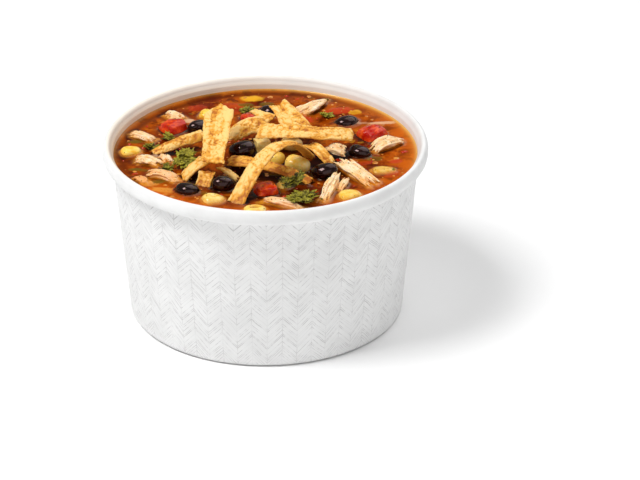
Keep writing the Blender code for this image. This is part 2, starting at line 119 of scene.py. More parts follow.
# Pulled chicken: start, crest and end, width, thickness and seed
SHREDS = {
    "chicken_left": ((-62.5, 22, -0.2), (-57, 17, 1.1), (-51.4, 13, -0.2), 6.2, 3.4, 3),
    "chicken_flat": ((-59, -6.4, 0.2), (-54, -8.5, 1.1), (-48.5, -13, 0), 7.4, 3.6, 11),
    "chicken_bit": ((-47.5, -4, 0.5), (-46, -6.4, 1.3), (-44, -10, 0.3), 3.8, 3, 5),
    "chicken_front_left": ((-53, -22.5, 0.4), (-46, -25, 1.6), (-39.5, -29.6, 0), 6.8, 3.8, 8),
    "chicken_pink": ((-58.5, -25.5, -0.2), (-56, -28.5, 0.7), (-53.5, -32, -0.2), 4.8, 3, 13),
    "chicken_back": ((-46, 43, 0), (-43, 40, 0.9), (-39, 36.5, 0), 6.4, 3.4, 17),
    "chicken_wedge": ((14.5, 43, 0), (21, 48.5, 1.8), (29, 57, 0.6), 9.6, 4, 19),
    "chicken_right": ((49.4, 1, 0.2), (55.5, 6, 2), (63, 11, 0.4), 7.8, 4.6, 29),
    "chicken_long": ((35, -13.4, 1.6), (41, -23.5, 1.6), (49, -34.5, -0.2), 8.6, 4, 31),
    "chicken_upright": ((25.5, -51, -0.4), (29, -39.5, 2), (32, -29, 3), 5.4, 3.8, 37),
    "chicken_upright_thin": ((32.6, -40.6, 0), (34.6, -35.4, 1.2), (37, -30.4, 1.2), 3.6, 3.2, 41),
    "chicken_front": ((-0.5, -50.5, 0.6), (8.5, -55, 1.4), (18, -60, -0.2), 6.2, 3.4, 43),
    "chicken_chunk": ((28.5, -1.6, 3), (32.5, -5, 4.2), (36.4, -6.4, 3), 8, 4.4, 47),
}

# How strongly the broth has stained a piece of chicken
STAINED = {"chicken_pink": 0.85, "chicken_front_left": 0.45, "chicken_front": 0.25, "chicken_left": 0.16}

# Black beans: centre, heading, pitch and size factor
BEANS = {
    "bean_middle": ((-10.6, -9, 5.6), 12, -10, 1.14),
    "bean_tall_strip": ((-31.3, 26, 1.2), 40, 6, 0.94),
    "bean_front": ((-18.6, -36.6, 1.8), 30, 14, 1.04),
    "bean_left": ((-35.5, -40, 0.2), -16, 0, 1.04),
    "bean_arch": ((26.6, -25.4, 2.2), -14, -16, 1.1),
    "bean_right": ((43, -3, 0.9), -32, 0, 1.0),
    "bean_back_right": ((38.5, 32, -0.4), 24, 0, 1.04),
    "bean_back": ((2, 46, -0.6), -30, 0, 0.9),
}

# Sweetcorn and hominy: centre, size, heading, pitch and tone from yellow (0) to cream (1)
KERNELS = {
    "corn_left": ((-62, 1.4, 0), (9.6, 7.4, 5.6), 18, 0, 0.1),
    "corn_front": ((-23.5, -49, -0.2), (10.4, 8, 6), 10, 6, 0.8),
    "corn_rim": ((-4.8, -59.6, -0.4), (10.4, 7, 5.6), 8, 0, 0.45),
    "corn_back": ((-26.5, 40.5, 0.2), (9.4, 7.6, 5.8), -20, 0, 0.0),
    "corn_behind": ((-36.6, 14.6, -0.2), (8.6, 6.6, 5), 30, 0, 0.1),
    "corn_front_right": ((37.6, -46, -0.2), (10.6, 7.8, 5.8), 20, 0, 0.3),
    "corn_right": ((53.6, -20, -0.8), (10.6, 6.6, 5), 6, 0, 0.2),
    "corn_herb": ((8.4, -35.4, 0), (7.6, 6, 5), 40, 0, 0.35),
    "hominy_arch": ((14.6, -17.6, 2.2), (11.6, 8.8, 7.8), -24, 8, 0.5),
    "hominy_behind": ((12, 4.6, 2.4), (10, 7, 6), -14, 0, 1.0),
    "hominy_under": ((4.8, -10, 1.6), (8.4, 7.6, 7), 50, 10, 0.15),
}

# Diced pieces: centre, size, heading and kind
CUBES = {
    "tomato_left": ((-42.8, 26, 0.6), (12.5, 11, 8), 40, "tomato"),
    "tomato_right": ((50, 16.6, 0.6), (13.5, 12, 9), 38, "tomato"),
    "tomato_front": ((0.2, -41.5, 0.4), (11, 10, 8.4), 15, "tomato"),
    "tomato_back": ((-8, 37, -0.2), (8, 7, 6), 20, "tomato"),
    "potato_cube": ((-1.6, 0.6, 4), (7.4, 6, 6), 24, "potato"),
}

# Herb leaves: stalk end, length, heading, tilt and seed
LEAVES = {
    "leaf_left": ((-48.6, 4.4, 0.8), 8, 156, 6, 2),
    "leaf_far_left": ((-41.8, 16.6, 0.8), 7, 196, 6, 4),
    "leaf_big": ((-40.9, -19.4, 1.2), 14.6, 52, 20, 5),
    "leaf_side": ((-41, -17.6, 0.5), 8, 176, 6, 9),
    "leaf_front": ((8.8, -46.6, 1.5), 17.5, -32, 10, 12),
    "leaf_front_top": ((6.6, -43, 3.2), 12.5, 12, 22, 15),
    "leaf_back": ((-13, 45, 0.4), 9, 14, 6, 21),
    "leaf_behind": ((33.4, 41, 0.4), 8.6, 196, 6, 33),
}

# How much darker than the rest a leaf is
LEAF_SHADE = {
    "leaf_front_top": 0.45,
    "leaf_front": 0.18,
    "leaf_left": 0.25,
    "leaf_back": 0.25,
    "leaf_side": 0.3,
}

# Colours of what lies under the surface of the broth
DARK_BEAN_AND_SHADE = (0.006, 0.001, 0.001)
RED = (0.50, 0.045, 0.012)
YELLOW = (0.80, 0.40, 0.02)
GREEN = (0.12, 0.10, 0.01)
PALE = (0.80, 0.52, 0.30)
ORANGE = (0.70, 0.28, 0.04)

# Pieces just under the surface: centre, length, width, heading, colour and strength
SUNKEN = [
    # A near-black patch in the gap under strip_under, standing for a sunken bean and painted shade there
    (4.5, -25.2, 11, 5.5, -8, DARK_BEAN_AND_SHADE, 1.0),
    (34.5, 45.8, 13, 7, 12, RED, 0.85),
    (-14.8, 52.4, 12, 7, -8, RED, 0.6),
    (-31.9, 50.4, 9, 7, 20, RED, 0.6),
    (18.7, 37.1, 10, 7, -40, RED, 0.9),
    (59.5, -10.0, 7, 4, 20, RED, 0.8),
    (-6.3, 60.3, 11, 6.5, 2, YELLOW, 0.9),
    (42.5, 44.5, 6.5, 5.5, 0, YELLOW, 0.75),
    (-46.7, -37.8, 11, 5, -14, ORANGE, 0.8),
    (42.1, 31.0, 13, 2.4, 18, PALE, 0.35),
    (55.3, 31.9, 14, 3.0, 4, PALE, 0.7),
    (-35.4, 35.8, 5, 4.4, 0, PALE, 0.75),
    (-60.5, 13.1, 7, 4, 10, GREEN, 0.8),
    (-57.7, -16.9, 9, 3, -8, GREEN, 0.75),
    (-48.7, -29.5, 9, 4, 14, GREEN, 0.75),
    (-9.6, 53.4, 9, 4, 0, GREEN, 0.7),
    (1.0, 54.0, 8, 5, 0, GREEN, 0.65),
    (50.2, -7.3, 8, 5, 10, GREEN, 0.6),
    (-52.3, -31.5, 9, 5, 10, ORANGE, 0.7),
    (-45.0, 34.0, 9, 3, -14, ORANGE, 0.6),
    (46.0, -11.5, 8, 4, 20, RED, 0.5),
    (57.5, -24.0, 9, 5, 30, RED, 0.45),
    (-18.0, 45.0, 12, 7, 10, RED, 0.5),
    (-45.5, 9.0, 6, 4, 30, PALE, 0.4),
    (-50.5, -4.0, 8, 3.5, -50, PALE, 0.5),
]

# Small things: how many there are, and how far out from the middle they reach
SUNKEN_BITS = (90, 66)
OIL_DROPS = (230, 66.5)
HERB_FLECKS = (260, 67.5)
TOMATO_BITS = (110, 66)

# Fineness of the meshes
BOWL_AROUND = 320
STRIP_STEP = 0.38
SHRED_VOXEL = 0.22
BEAN_BALL = (36, 64)
KERNEL_BALL = (34, 60)
BIT_BALL = (8, 14)
CUBE_CUTS = 22
BROTH_RINGS = 116
BROTH_AROUND = 600

# The distance given where nothing is near
FAR = 9.0


def stacked(*parts):
    """Arrays and plain numbers side by side, as the last axis of one array."""
    return np.stack(np.broadcast_arrays(*parts), axis=-1)


# Noise on arrays of points

# Large odd numbers that scramble a cell's place and the seed
CELL_FACTORS = (73856093, 19349663, 83492791)
SEED_FACTOR = 2654435761
LAST_FACTOR = 1274126177


def lattice(cells, seed):
    """A number from -1 to 1 for each whole-number cell."""
    mixed = seed * SEED_FACTOR
    for axis, factor in enumerate(CELL_FACTORS):
        mixed = mixed ^ (cells[..., axis] * factor)
    mixed = (mixed ^ (mixed >> 13)) * LAST_FACTOR & 0xFFFFFFFF
    mixed = (mixed ^ (mixed >> 16)) & 0xFFFF
    return mixed / 32767.5 - 1.0


def soft_noise(points, seed):
    """Smooth noise from -1 to 1 over an array of points."""
    points = np.asarray(points, float)
    base = np.floor(points).astype(np.int64)
    rest = points - base
    rest = rest * rest * (3 - 2 * rest)
    total = np.zeros(points.shape[:-1])
    for corner in range(8):
        step = np.array((corner & 1, corner >> 1 & 1, corner >> 2 & 1))
        share = np.prod(np.where(step == 1, rest, 1 - rest), axis=-1)
        total += share * lattice(base + step, seed)
    return total


def layered_noise(points, seed, layers):
    """Soft noise with finer and weaker layers over it."""
    total = 0.0
    for layer in range(layers):
        total = total + soft_noise(np.asarray(points) * 2.0**layer, seed + layer * 17) * 0.5**layer
    return total


def cell_distance(points, seed):
    """The distance to the nearest of points scattered one to a unit cell, and the gap to the next."""
    base = np.floor(points).astype(np.int64)
    nearest = np.full(points.shape[0], FAR)
    second = np.full(points.shape[0], FAR)
    for dx in (-1, 0, 1):
        for dy in (-1, 0, 1):
            cell = base + np.array((dx, dy))
            flat = stacked(cell[:, 0], cell[:, 1], 0)
            place_x = cell[:, 0] + 0.5 + 0.45 * lattice(flat, seed)
            place_y = cell[:, 1] + 0.5 + 0.45 * lattice(flat, seed + 5)
            away = np.hypot(points[:, 0] - place_x, points[:, 1] - place_y)
            second = np.minimum(second, np.maximum(nearest, away))
            nearest = np.minimum(nearest, away)
    return nearest, second - nearest


def smooth_step(low, high, value):
    """The value's place from low (0) to high (1), eased and clamped."""
    share = np.clip((value - low) / (high - low), 0, 1)
    return share * share * (3 - 2 * share)


def circle(count):
    """Even angles once round."""
    return np.linspace(0, 2 * math.pi, count, endpoint=False)


def polar(out, angle):
    return out * math.cos(angle), out * math.sin(angle)


def name_seed(name):
    return sum(ord(letter) for letter in name)


# Meshes and pieces


def set_layer(mesh, key, values, kind="FLOAT", field="value"):
    """Stores values on a mesh's points, for its material."""
    layer = mesh.attributes.new(key, kind, "POINT")
    layer.data.foreach_set(field, np.asarray(values, np.float32).ravel())


def make_piece(name, points, faces, finish, **numbers):
    """An object from points in millimetres. Numbers are one value a point, for its material."""
    mesh = bpy.data.meshes.new(name)
    mesh.from_pydata((np.asarray(points) * MM).tolist(), [], [list(face) for face in faces])
    for key, values in numbers.items():
        set_layer(mesh, key, values)
    mesh.shade_smooth()
    mesh.materials.append(finish)
    piece = bpy.data.objects.new(name, mesh)
    bpy.context.scene.collection.objects.link(piece)
    return piece


def settle(piece, slot, *nodes):
    """The piece rides on the bowl and stands for the named solids."""
    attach(piece, "root")
    if nodes:
        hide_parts(*nodes)
    return piece


def grid_faces(rows, columns, wrap_rows=False, wrap_columns=False):
    """Quads over a grid of points numbered row by row."""
    row = np.arange(rows if wrap_rows else rows - 1)
    column = np.arange(columns if wrap_columns else columns - 1)
    r, c = np.meshgrid(row, column, indexing="ij")
    after_r = (r + 1) % rows
    after_c = (c + 1) % columns
    corners = (r * columns + c, r * columns + after_c, after_r * columns + after_c, after_r * columns + c)
    return np.stack(corners, axis=-1).reshape(-1, 4)


def absolute(point):
    """A point whose height is given over the broth's level, as an array."""
    return np.array((point[0], point[1], LEVEL + point[2]), float)


def remeshed(piece, voxel):
    """Fuses a piece's overlapping parts into one skin of even faces."""
    fuse = piece.modifiers.new("fuse", "REMESH")
    fuse.mode = "VOXEL"
    fuse.voxel_size = voxel * MM
    soften = piece.modifiers.new("soften", "SMOOTH")
    soften.factor = 0.5
    soften.iterations = 1
    graph = bpy.context.evaluated_depsgraph_get()
    mesh = bpy.data.meshes.new_from_object(piece.evaluated_get(graph))
    piece.modifiers.clear()
    old = piece.data
    piece.data = mesh
    bpy.data.meshes.remove(old)
    return mesh


def points_of(mesh):
    found = np.zeros(len(mesh.vertices) * 3, np.float32)
    mesh.vertices.foreach_get("co", found)
    return found.reshape(-1, 3).astype(float) / MM


def normals_of(mesh):
    found = np.zeros(len(mesh.vertices) * 3, np.float32)
    mesh.vertex_normals.foreach_get("vector", found)
    return found.reshape(-1, 3).astype(float)


def set_points(mesh, points):
    mesh.vertices.foreach_set("co", (points * MM).astype(np.float32).ravel())
    mesh.update()


class Gathered:
    """Points and faces of several parts, joined."""

    def __init__(self):
        self.parts = []
        self.faces = []
        self.count = 0

    def take(self, points, faces):
        self.faces += [[corner + self.count for corner in face] for face in faces]
        self.parts.append(np.asarray(points))
        self.count += len(points)

    def points(self):
        return np.concatenate(self.parts)


# Material nodes


class Nodes:
    """Short calls that add nodes to one material and join them."""

    def __init__(self, name):
        self.material = bpy.data.materials.new(name)
        self.material.use_nodes = True
        self.tree = self.material.node_tree
        self.shader = self.tree.nodes["Principled BSDF"]

    def add(self, kind, **settings):
        node = self.tree.nodes.new(kind)
        for key, value in settings.items():
            setattr(node, key, value)
        return node

    def feed(self, socket, value):
        if isinstance(value, bpy.types.NodeSocket):
            self.tree.links.new(value, socket)
        elif isinstance(value, tuple) and len(value) == 3 and socket.type == "RGBA":
            socket.default_value = (*value, 1.0)
        else:
            socket.default_value = value

    def math(self, operation, *values):
        node = self.add("ShaderNodeMath", operation=operation)
        for socket, value in zip(node.inputs, values):
            self.feed(socket, value)
        return node.outputs[0]

    def plus(self, first, second):
        return self.math("ADD", first, second)

    def minus(self, first, second):
        return self.math("SUBTRACT", first, second)

    def times(self, first, second):
        return self.math("MULTIPLY", first, second)

    def larger(self, first, second):
        return self.math("MAXIMUM", first, second)

    def scaled(self, value, factor, start):
        """The value times a factor, plus a start."""
        return self.math("MULTIPLY_ADD", value, factor, start)

    def place(self, scale=(1.0, 1.0, 1.0)):
        """Object coordinates in millimetres, times a scale."""
        node = self.add("ShaderNodeMapping")
        self.feed(node.inputs["Vector"], self.add("ShaderNodeTexCoord").outputs["Object"])
        node.inputs["Scale"].default_value = [value / MM for value in scale]
        return node.outputs[0]

    def parts(self, vector):
        node = self.add("ShaderNodeSeparateXYZ")
        self.feed(node.inputs[0], vector)
        return node.outputs

    def attribute(self, name, output="Fac"):
        return self.add("ShaderNodeAttribute", attribute_name=name).outputs[output]

    def noise(self, vector, scale=1.0, detail=3.0, roughness=0.55, distortion=0.0):
        node = self.add("ShaderNodeTexNoise")
        self.feed(node.inputs["Vector"], vector)
        node.inputs["Scale"].default_value = scale
        node.inputs["Detail"].default_value = detail
        node.inputs["Roughness"].default_value = roughness
        node.inputs["Distortion"].default_value = distortion
        return node.outputs["Fac"]

    def cells(self, vector, scale, feature="F1"):
        node = self.add("ShaderNodeTexVoronoi", feature=feature)
        self.feed(node.inputs["Vector"], vector)
        node.inputs["Scale"].default_value = scale
        return node.outputs["Distance"]

    def ranged(self, value, low, high, to_low=0.0, to_high=1.0):
        """The value's place between low and high, eased and clamped."""
        node = self.add("ShaderNodeMapRange", interpolation_type="SMOOTHSTEP")
        for socket, given in zip(node.inputs[:5], (value, low, high, to_low, to_high)):
            self.feed(socket, given)
        return node.outputs[0]

    def mix(self, share, first, second):
        node = self.add("ShaderNodeMix", data_type="RGBA")
        self.feed(node.inputs[0], share)
        self.feed(node.inputs[6], first)
        self.feed(node.inputs[7], second)
        return node.outputs[2]

    def tinted(self, color, amount, most, tint):
        """The colour with up to a share of the tint where the amount is 1."""
        return self.mix(self.times(amount, most), color, tint)

    def bump(self, height, distance, strength):
        """A normal from a height in millimetres."""
        node = self.add("ShaderNodeBump")
        node.inputs["Strength"].default_value = strength
        node.inputs["Distance"].default_value = distance * MM
        self.feed(node.inputs["Height"], height)
        return node.outputs[0]

    def finish(self, color, rough, specular, bump, **more):
        """The material, once its colour, roughness, gloss and bump are set."""
        settings = {"Base_Color": color, "Roughness": rough, "Specular_IOR_Level": specular}
        return self.shade(**settings, Normal=self.bump(*bump), **more)

    def let_light_in(self, weight, radius, scale=0.0015):
        """Light that goes a little way below the surface."""
        self.shade(Subsurface_Weight=weight, Subsurface_Radius=radius, Subsurface_Scale=scale)

    def shade(self, **inputs):
        """Sets the shader's own inputs, and gives the material."""
        for key, value in inputs.items():
            self.feed(self.shader.inputs[key.replace("_", " ")], value)
        return self.material


def wetness(nodes, depth=1.6):
    """From 1 at the broth's surface to 0 a little above it, with an uneven edge."""
    place = nodes.place()
    height = nodes.parts(place)[2]
    ragged = nodes.noise(place, 0.5, 2.0)
    top = nodes.scaled(ragged, depth * 2, LEVEL + 0.1)
    return nodes.ranged(nodes.minus(top, height), 0.0, depth)


def paper_material():
    """White board with a pale grey herringbone of fine, broken lines on its outer wall."""
    nodes = Nodes("paper_board")
    place = nodes.place()
    x, y, z = nodes.parts(place)
    turn = nodes.times(nodes.math("ARCTAN2", y, x), PRINT_COLUMNS / (2 * math.pi))
    wander = nodes.noise(nodes.place((0.16, 0.16, 0.16)), 1.0, 1.0)
    turn = nodes.plus(turn, nodes.times(nodes.minus(wander, 0.5), 0.10))
    fold = nodes.math("PINGPONG", turn, 1.0)
    column_width = 2 * math.pi * PRINT_RADIUS / PRINT_COLUMNS
    slant = nodes.scaled(fold, column_width, z)
    slant = nodes.scaled(wander, 1.0, slant)
    lines = None
    for spacing, offset, width in PRINT_LINES:
        phase = nodes.math("FRACT", nodes.scaled(slant, 1 / spacing, offset / spacing))
        away = nodes.times(nodes.math("ABSOLUTE", nodes.minus(phase, 0.5)), spacing)
        line = nodes.ranged(away, width + 0.10, width - 0.05)
        lines = line if lines is None else nodes.larger(lines, line)
    edge = nodes.math("ABSOLUTE", nodes.minus(nodes.math("FRACT", turn), 0.5))
    edge = nodes.ranged(edge, 0.455, 0.490)
    lines = nodes.larger(lines, nodes.times(edge, 0.55))
    broken = nodes.ranged(nodes.noise(place, 0.26, 3.0, 0.6), 0.44, 0.60)
    lines = nodes.times(lines, nodes.scaled(broken, 0.75, 0.22))
    lines = nodes.times(lines, nodes.attribute("printed"))
    mottle = nodes.ranged(nodes.noise(place, 0.09, 3.0), 0.3, 0.7)
    white = nodes.mix(mottle, (0.80, 0.80, 0.795), (0.86, 0.86, 0.855))
    # Broth stain with painted bounce light, warm on the shaded left of the inner wall
    inner = nodes.mix(nodes.attribute("stain"), white, (0.99, 0.80, 0.57))
    color = nodes.tinted(inner, lines, 0.60, (0.36, 0.35, 0.35))
    fibres = nodes.noise(place, 1.6, 4.0, 0.65)
    rough = nodes.scaled(fibres, 0.2, 0.38)
    return nodes.finish(color, rough, 0.35, (fibres, 0.06, 0.35))


def tortilla_material():
    """Fried corn strip: pale raised skin, orange-brown painted shade in its hollows and on its lower
    face, dark specks, oil at its foot.
    """
    nodes = Nodes("fried_tortilla")
    place = nodes.place()
    hollow_shade = nodes.attribute("hollow_shade")
    broad = nodes.noise(place, 0.16, 3.0, 0.6)
    fine = nodes.noise(place, 1.1, 4.0, 0.65)
    # Painted shade makes hollows, pits and creases browner
    tone = nodes.plus(hollow_shade, nodes.times(nodes.minus(broad, 0.5), 0.9))
    tone = nodes.plus(tone, nodes.times(nodes.minus(fine, 0.5), 0.7))
    color = nodes.mix(nodes.ranged(tone, 0.05, 0.48), (0.97, 0.63, 0.21), (0.83, 0.38, 0.035))
    color = nodes.mix(nodes.ranged(tone, 0.44, 0.95), color, (0.48, 0.14, 0.008))
    color = nodes.tinted(color, nodes.attribute("rim"), 0.45, (0.74, 0.33, 0.045))
    # Painted shade on the strip's lower face
    color = nodes.tinted(color, nodes.attribute("under"), 0.75, (0.56, 0.22, 0.022))
    specks = nodes.ranged(nodes.cells(place, 0.42), 0.13, 0.06)
    specks = nodes.times(specks, nodes.ranged(nodes.noise(place, 0.6, 1.0), 0.45, 0.6))
    color = nodes.tinted(color, specks, 0.75, (0.22, 0.09, 0.02))
    wet = wetness(nodes)
    color = nodes.tinted(color, wet, 0.7, (0.55, 0.20, 0.03))
    rough = nodes.scaled(fine, 0.25, nodes.ranged(wet, 0.0, 1.0, 0.38, 0.12))
    grit = nodes.noise(place, 2.6, 3.0, 0.6)
    nodes.let_light_in(0.08, (1.0, 0.5, 0.2))
    return nodes.finish(color, rough, 0.30, (grit, 0.16, 0.8))


def chicken_material():
    """Pulled chicken: pale and tan fibres, painted shade in the grooves between them, stained by the
    broth at its foot.
    """
    nodes = Nodes("pulled_chicken")
    grain = nodes.attribute("grain", "Vector")
    fibres = nodes.noise(grain, 1.0, 4.0, 0.6, 0.4)
    place = nodes.place()
    broad = nodes.noise(place, 0.22, 2.0)
    groove_shade = nodes.attribute("hollow_shade")
    color = nodes.mix(nodes.ranged(fibres, 0.30, 0.62), (0.85, 0.52, 0.22), (0.96, 0.70, 0.40))
    color = nodes.mix(nodes.ranged(broad, 0.4, 0.75), color, (0.99, 0.81, 0.58))
    # Painted shade in the grooves between the fibres
    color = nodes.tinted(color, groove_shade, 0.65, (0.66, 0.27, 0.05))
    patches = nodes.ranged(nodes.noise(place, 0.30, 3.0), 0.50, 0.68)
    color = nodes.tinted(color, patches, 0.7, (0.90, 0.50, 0.16))
    color = nodes.mix(nodes.attribute("stained"), color, (0.80, 0.34, 0.09))
    wet = wetness(nodes, 2.3)
    color = nodes.tinted(color, wet, 0.85, (0.80, 0.34, 0.05))
    rough = nodes.scaled(fibres, 0.25, nodes.ranged(wet, 0.0, 1.0, 0.32, 0.12))
    nodes.let_light_in(0.15, (1.0, 0.45, 0.2))
    return nodes.finish(color, rough, 0.35, (fibres, 0.22, 0.7))


def bean_material():
    """Black bean: a glossy purple-black skin, with a paler eye."""
    nodes = Nodes("black_bean_skin")
    place = nodes.place()
    broad = nodes.noise(place, 0.3, 3.0)
    color = nodes.mix(nodes.ranged(broad, 0.35, 0.75), (0.0024, 0.0003, 0.0002), (0.014, 0.0016, 0.0008))
    color = nodes.mix(nodes.attribute("eye"), color, (0.30, 0.20, 0.14))
    color = nodes.tinted(color, wetness(nodes, 0.7), 0.35, (0.10, 0.02, 0.004))
    fine = nodes.noise(place, 1.2, 3.0)
    rough = nodes.scaled(fine, 0.05, 0.115)
    return nodes.finish(color, rough, 0.55, (fine, 0.03, 0.35), Specular_Tint=(1.0, 0.68, 0.66))


def corn_material():
    """Sweetcorn and hominy: glossy, from clear yellow to cream, darker orange in corn_rim's dent and all
    over corn_right.
    """
    nodes = Nodes("corn_kernel")
    place = nodes.place()
    broad = nodes.noise(place, 0.35, 3.0)
    tone = nodes.attribute("tone")
    yellow = nodes.mix(nodes.ranged(broad, 0.3, 0.7), (0.93, 0.49, 0.02), (0.98, 0.70, 0.13))
    cream = nodes.mix(nodes.ranged(broad, 0.3, 0.7), (0.88, 0.50, 0.08), (0.98, 0.71, 0.25))
    color = nodes.mix(tone, yellow, cream)
    color = nodes.tinted(color, nodes.attribute("tip"), 0.75, (0.86, 0.66, 0.36))
    color = nodes.mix(nodes.attribute("pit"), color, (0.50, 0.19, 0.008))
    color = nodes.tinted(color, wetness(nodes, 1.0), 0.55, (0.70, 0.27, 0.01))
    fine = nodes.noise(place, 1.0, 3.0)
    nodes.let_light_in(0.15, (1.0, 0.6, 0.1))
    return nodes.finish(color, nodes.scaled(fine, 0.15, 0.12), 0.5, (fine, 0.12, 0.4))


def tomato_material():
    """Diced tomato: red flesh under a wet gloss, orange where it is thin."""
    nodes = Nodes("diced_tomato")
    place = nodes.place()
    broad = nodes.noise(place, 0.28, 4.0, 0.6, 0.6)
    streaks = nodes.noise(nodes.place((0.28, 0.28, 0.28)), 1.0, 2.0, 0.5)
    color = nodes.mix(nodes.ranged(broad, 0.35, 0.7), (0.46, 0.006, 0.001), (0.80, 0.085, 0.006))
    color = nodes.mix(nodes.ranged(streaks, 0.62, 0.80), color, (0.90, 0.21, 0.015))
    color = nodes.tinted(color, wetness(nodes, 1.0), 0.5, (0.25, 0.02, 0.004))
    nodes.let_light_in(0.15, (1.0, 0.2, 0.1), 0.002)
    return nodes.finish(color, nodes.scaled(streaks, 0.08, 0.05), 0.28, (streaks, 0.05, 0.4))


def potato_material():
    """A pale cooked block with a grainy cut face."""
    nodes = Nodes("potato_block")
    place = nodes.place()
    grains = nodes.cells(place, 0.9, "SMOOTH_F1")
    color = nodes.mix(nodes.ranged(grains, 0.1, 0.7), (1.0, 0.77, 0.29), (0.98, 0.63, 0.15))
    color = nodes.tinted(color, wetness(nodes, 1.2), 0.5, (0.62, 0.28, 0.06))
    nodes.let_light_in(0.12, (1.0, 0.6, 0.3))
    return nodes.shade(
        Base_Color=color,
        Roughness=nodes.scaled(grains, 0.2, 0.3),
        Normal=nodes.bump(grains, 0.10, 0.4),
    )


def leaf_material():
    """Cooked herb: olive green with lighter veins, painted shade where it dips low, and a damp sheen."""
    nodes = Nodes("herb_leaf")
    place = nodes.place()
    broad = nodes.noise(place, 0.35, 3.0)
    fine = nodes.noise(place, 1.3, 4.0, 0.65)
    color = nodes.mix(nodes.ranged(broad, 0.35, 0.66), (0.070, 0.056, 0.001), (0.29, 0.25, 0.012))
    color = nodes.mix(nodes.ranged(fine, 0.50, 0.66), color, (0.58, 0.52, 0.06))
    color = nodes.tinted(color, nodes.attribute("vein"), 0.6, (0.58, 0.50, 0.07))
    # Painted shade where the leaf dips low
    color = nodes.mix(nodes.attribute("low"), color, (0.018, 0.012, 0.001))
    color = nodes.tinted(color, wetness(nodes, 0.8), 0.45, (0.07, 0.028, 0.002))
    return nodes.finish(color, nodes.scaled(fine, 0.3, 0.22), 0.12, (fine, 0.25, 0.8))


def broth_material():
    """Broth: red-brown and orange clouds, a bright thin edge, pieces seen through it, painted shade round
    and under the toppings, and painted light at its right side and front.
    """
    nodes = Nodes("tomato_broth")
    place = nodes.place()
    broad = nodes.noise(place, 0.045, 4.0, 0.6, 1.2)
    clouds = nodes.noise(place, 0.17, 5.0, 0.65, 0.8)
    color = nodes.mix(nodes.ranged(broad, 0.36, 0.62), (0.16, 0.015, 0.0004), (0.40, 0.072, 0.0012))
    color = nodes.mix(nodes.ranged(clouds, 0.52, 0.72), color, (0.58, 0.14, 0.006))
    murk = nodes.ranged(nodes.noise(nodes.place((1.0, 1.0, 0.2)), 0.13, 4.0, 0.6, 0.5), 0.47, 0.66)
    near = nodes.attribute("near")
    painted_warm_light = nodes.attribute("painted_warm_light")
    # Painted light: warmer broth at the lit right side and the front
    color = nodes.tinted(color, painted_warm_light, 0.75, (0.66, 0.13, 0.008))
    # Painted shade round the pieces and under the pile, mixed with random murk, less where the painted
    # light is
    dark = nodes.larger(nodes.times(murk, 0.75), nodes.times(near, 0.60))
    dark = nodes.times(dark, nodes.scaled(painted_warm_light, -0.58, 1.0))
    color = nodes.mix(dark, color, (0.050, 0.005, 0.0005))
    sunk = nodes.attribute("sunk")
    uneven = nodes.ranged(clouds, 0.25, 0.6, 0.6, 1.0)
    color = nodes.mix(nodes.times(sunk, uneven), color, nodes.attribute("tint", "Color"))
    color = nodes.mix(nodes.attribute("shade"), color, (0.022, 0.003, 0.0005))
    # A brighter edge at the wall and round pale pieces: thin broth over pale things, with painted light
    # on the lit right side and round the pale pieces
    color = nodes.mix(nodes.attribute("shallow_and_light"), color, (0.72, 0.28, 0.02))
    color = nodes.mix(nodes.attribute("edge_film_and_light"), color, (0.92, 0.56, 0.16))
    specks = nodes.ranged(nodes.cells(place, 0.55), 0.16, 0.08)
    specks = nodes.times(specks, nodes.ranged(nodes.noise(place, 0.35, 1.0), 0.5, 0.6))
    color = nodes.tinted(color, specks, 0.6, (0.10, 0.02, 0.002))
    fine = nodes.noise(place, 0.8, 4.0, 0.6)
    rough = nodes.scaled(fine, 0.06, 0.03)
    gloss = nodes.scaled(nodes.attribute("wave"), 0.8, 0.02)
    return nodes.finish(color, rough, gloss, (fine, 0.06, 0.35), Specular_Tint=(1.0, 0.72, 0.45))


def oil_material():
    """Drops of oil: clear orange-yellow and very smooth."""
    nodes = Nodes("oil_drop")
    place = nodes.place()
    cloudy = nodes.ranged(nodes.noise(place, 0.4, 2.0), 0.3, 0.7)
    color = nodes.mix(cloudy, (0.45, 0.12, 0.008), (0.72, 0.28, 0.03))
    return nodes.shade(Base_Color=color, Roughness=0.04, Specular_IOR_Level=0.5)


def floor_material():
    """A matt pale sheet."""
    nodes = Nodes("pale_floor")
    grain = nodes.noise(nodes.place((0.02, 0.02, 0.02)), 1.0, 2.0)
    color = nodes.mix(grain, (0.965, 0.965, 0.965), (0.985, 0.985, 0.985))
    return nodes.shade(Base_Color=color, Roughness=0.9, Specular_IOR_Level=0.1)


# Bowl


def wall_radius(height):
    """Outer radius of the tapered wall at a height."""
    return BASE_RADIUS + (NECK_RADIUS - BASE_RADIUS) * height / (BOWL_HEIGHT - BEAD_HEIGHT)


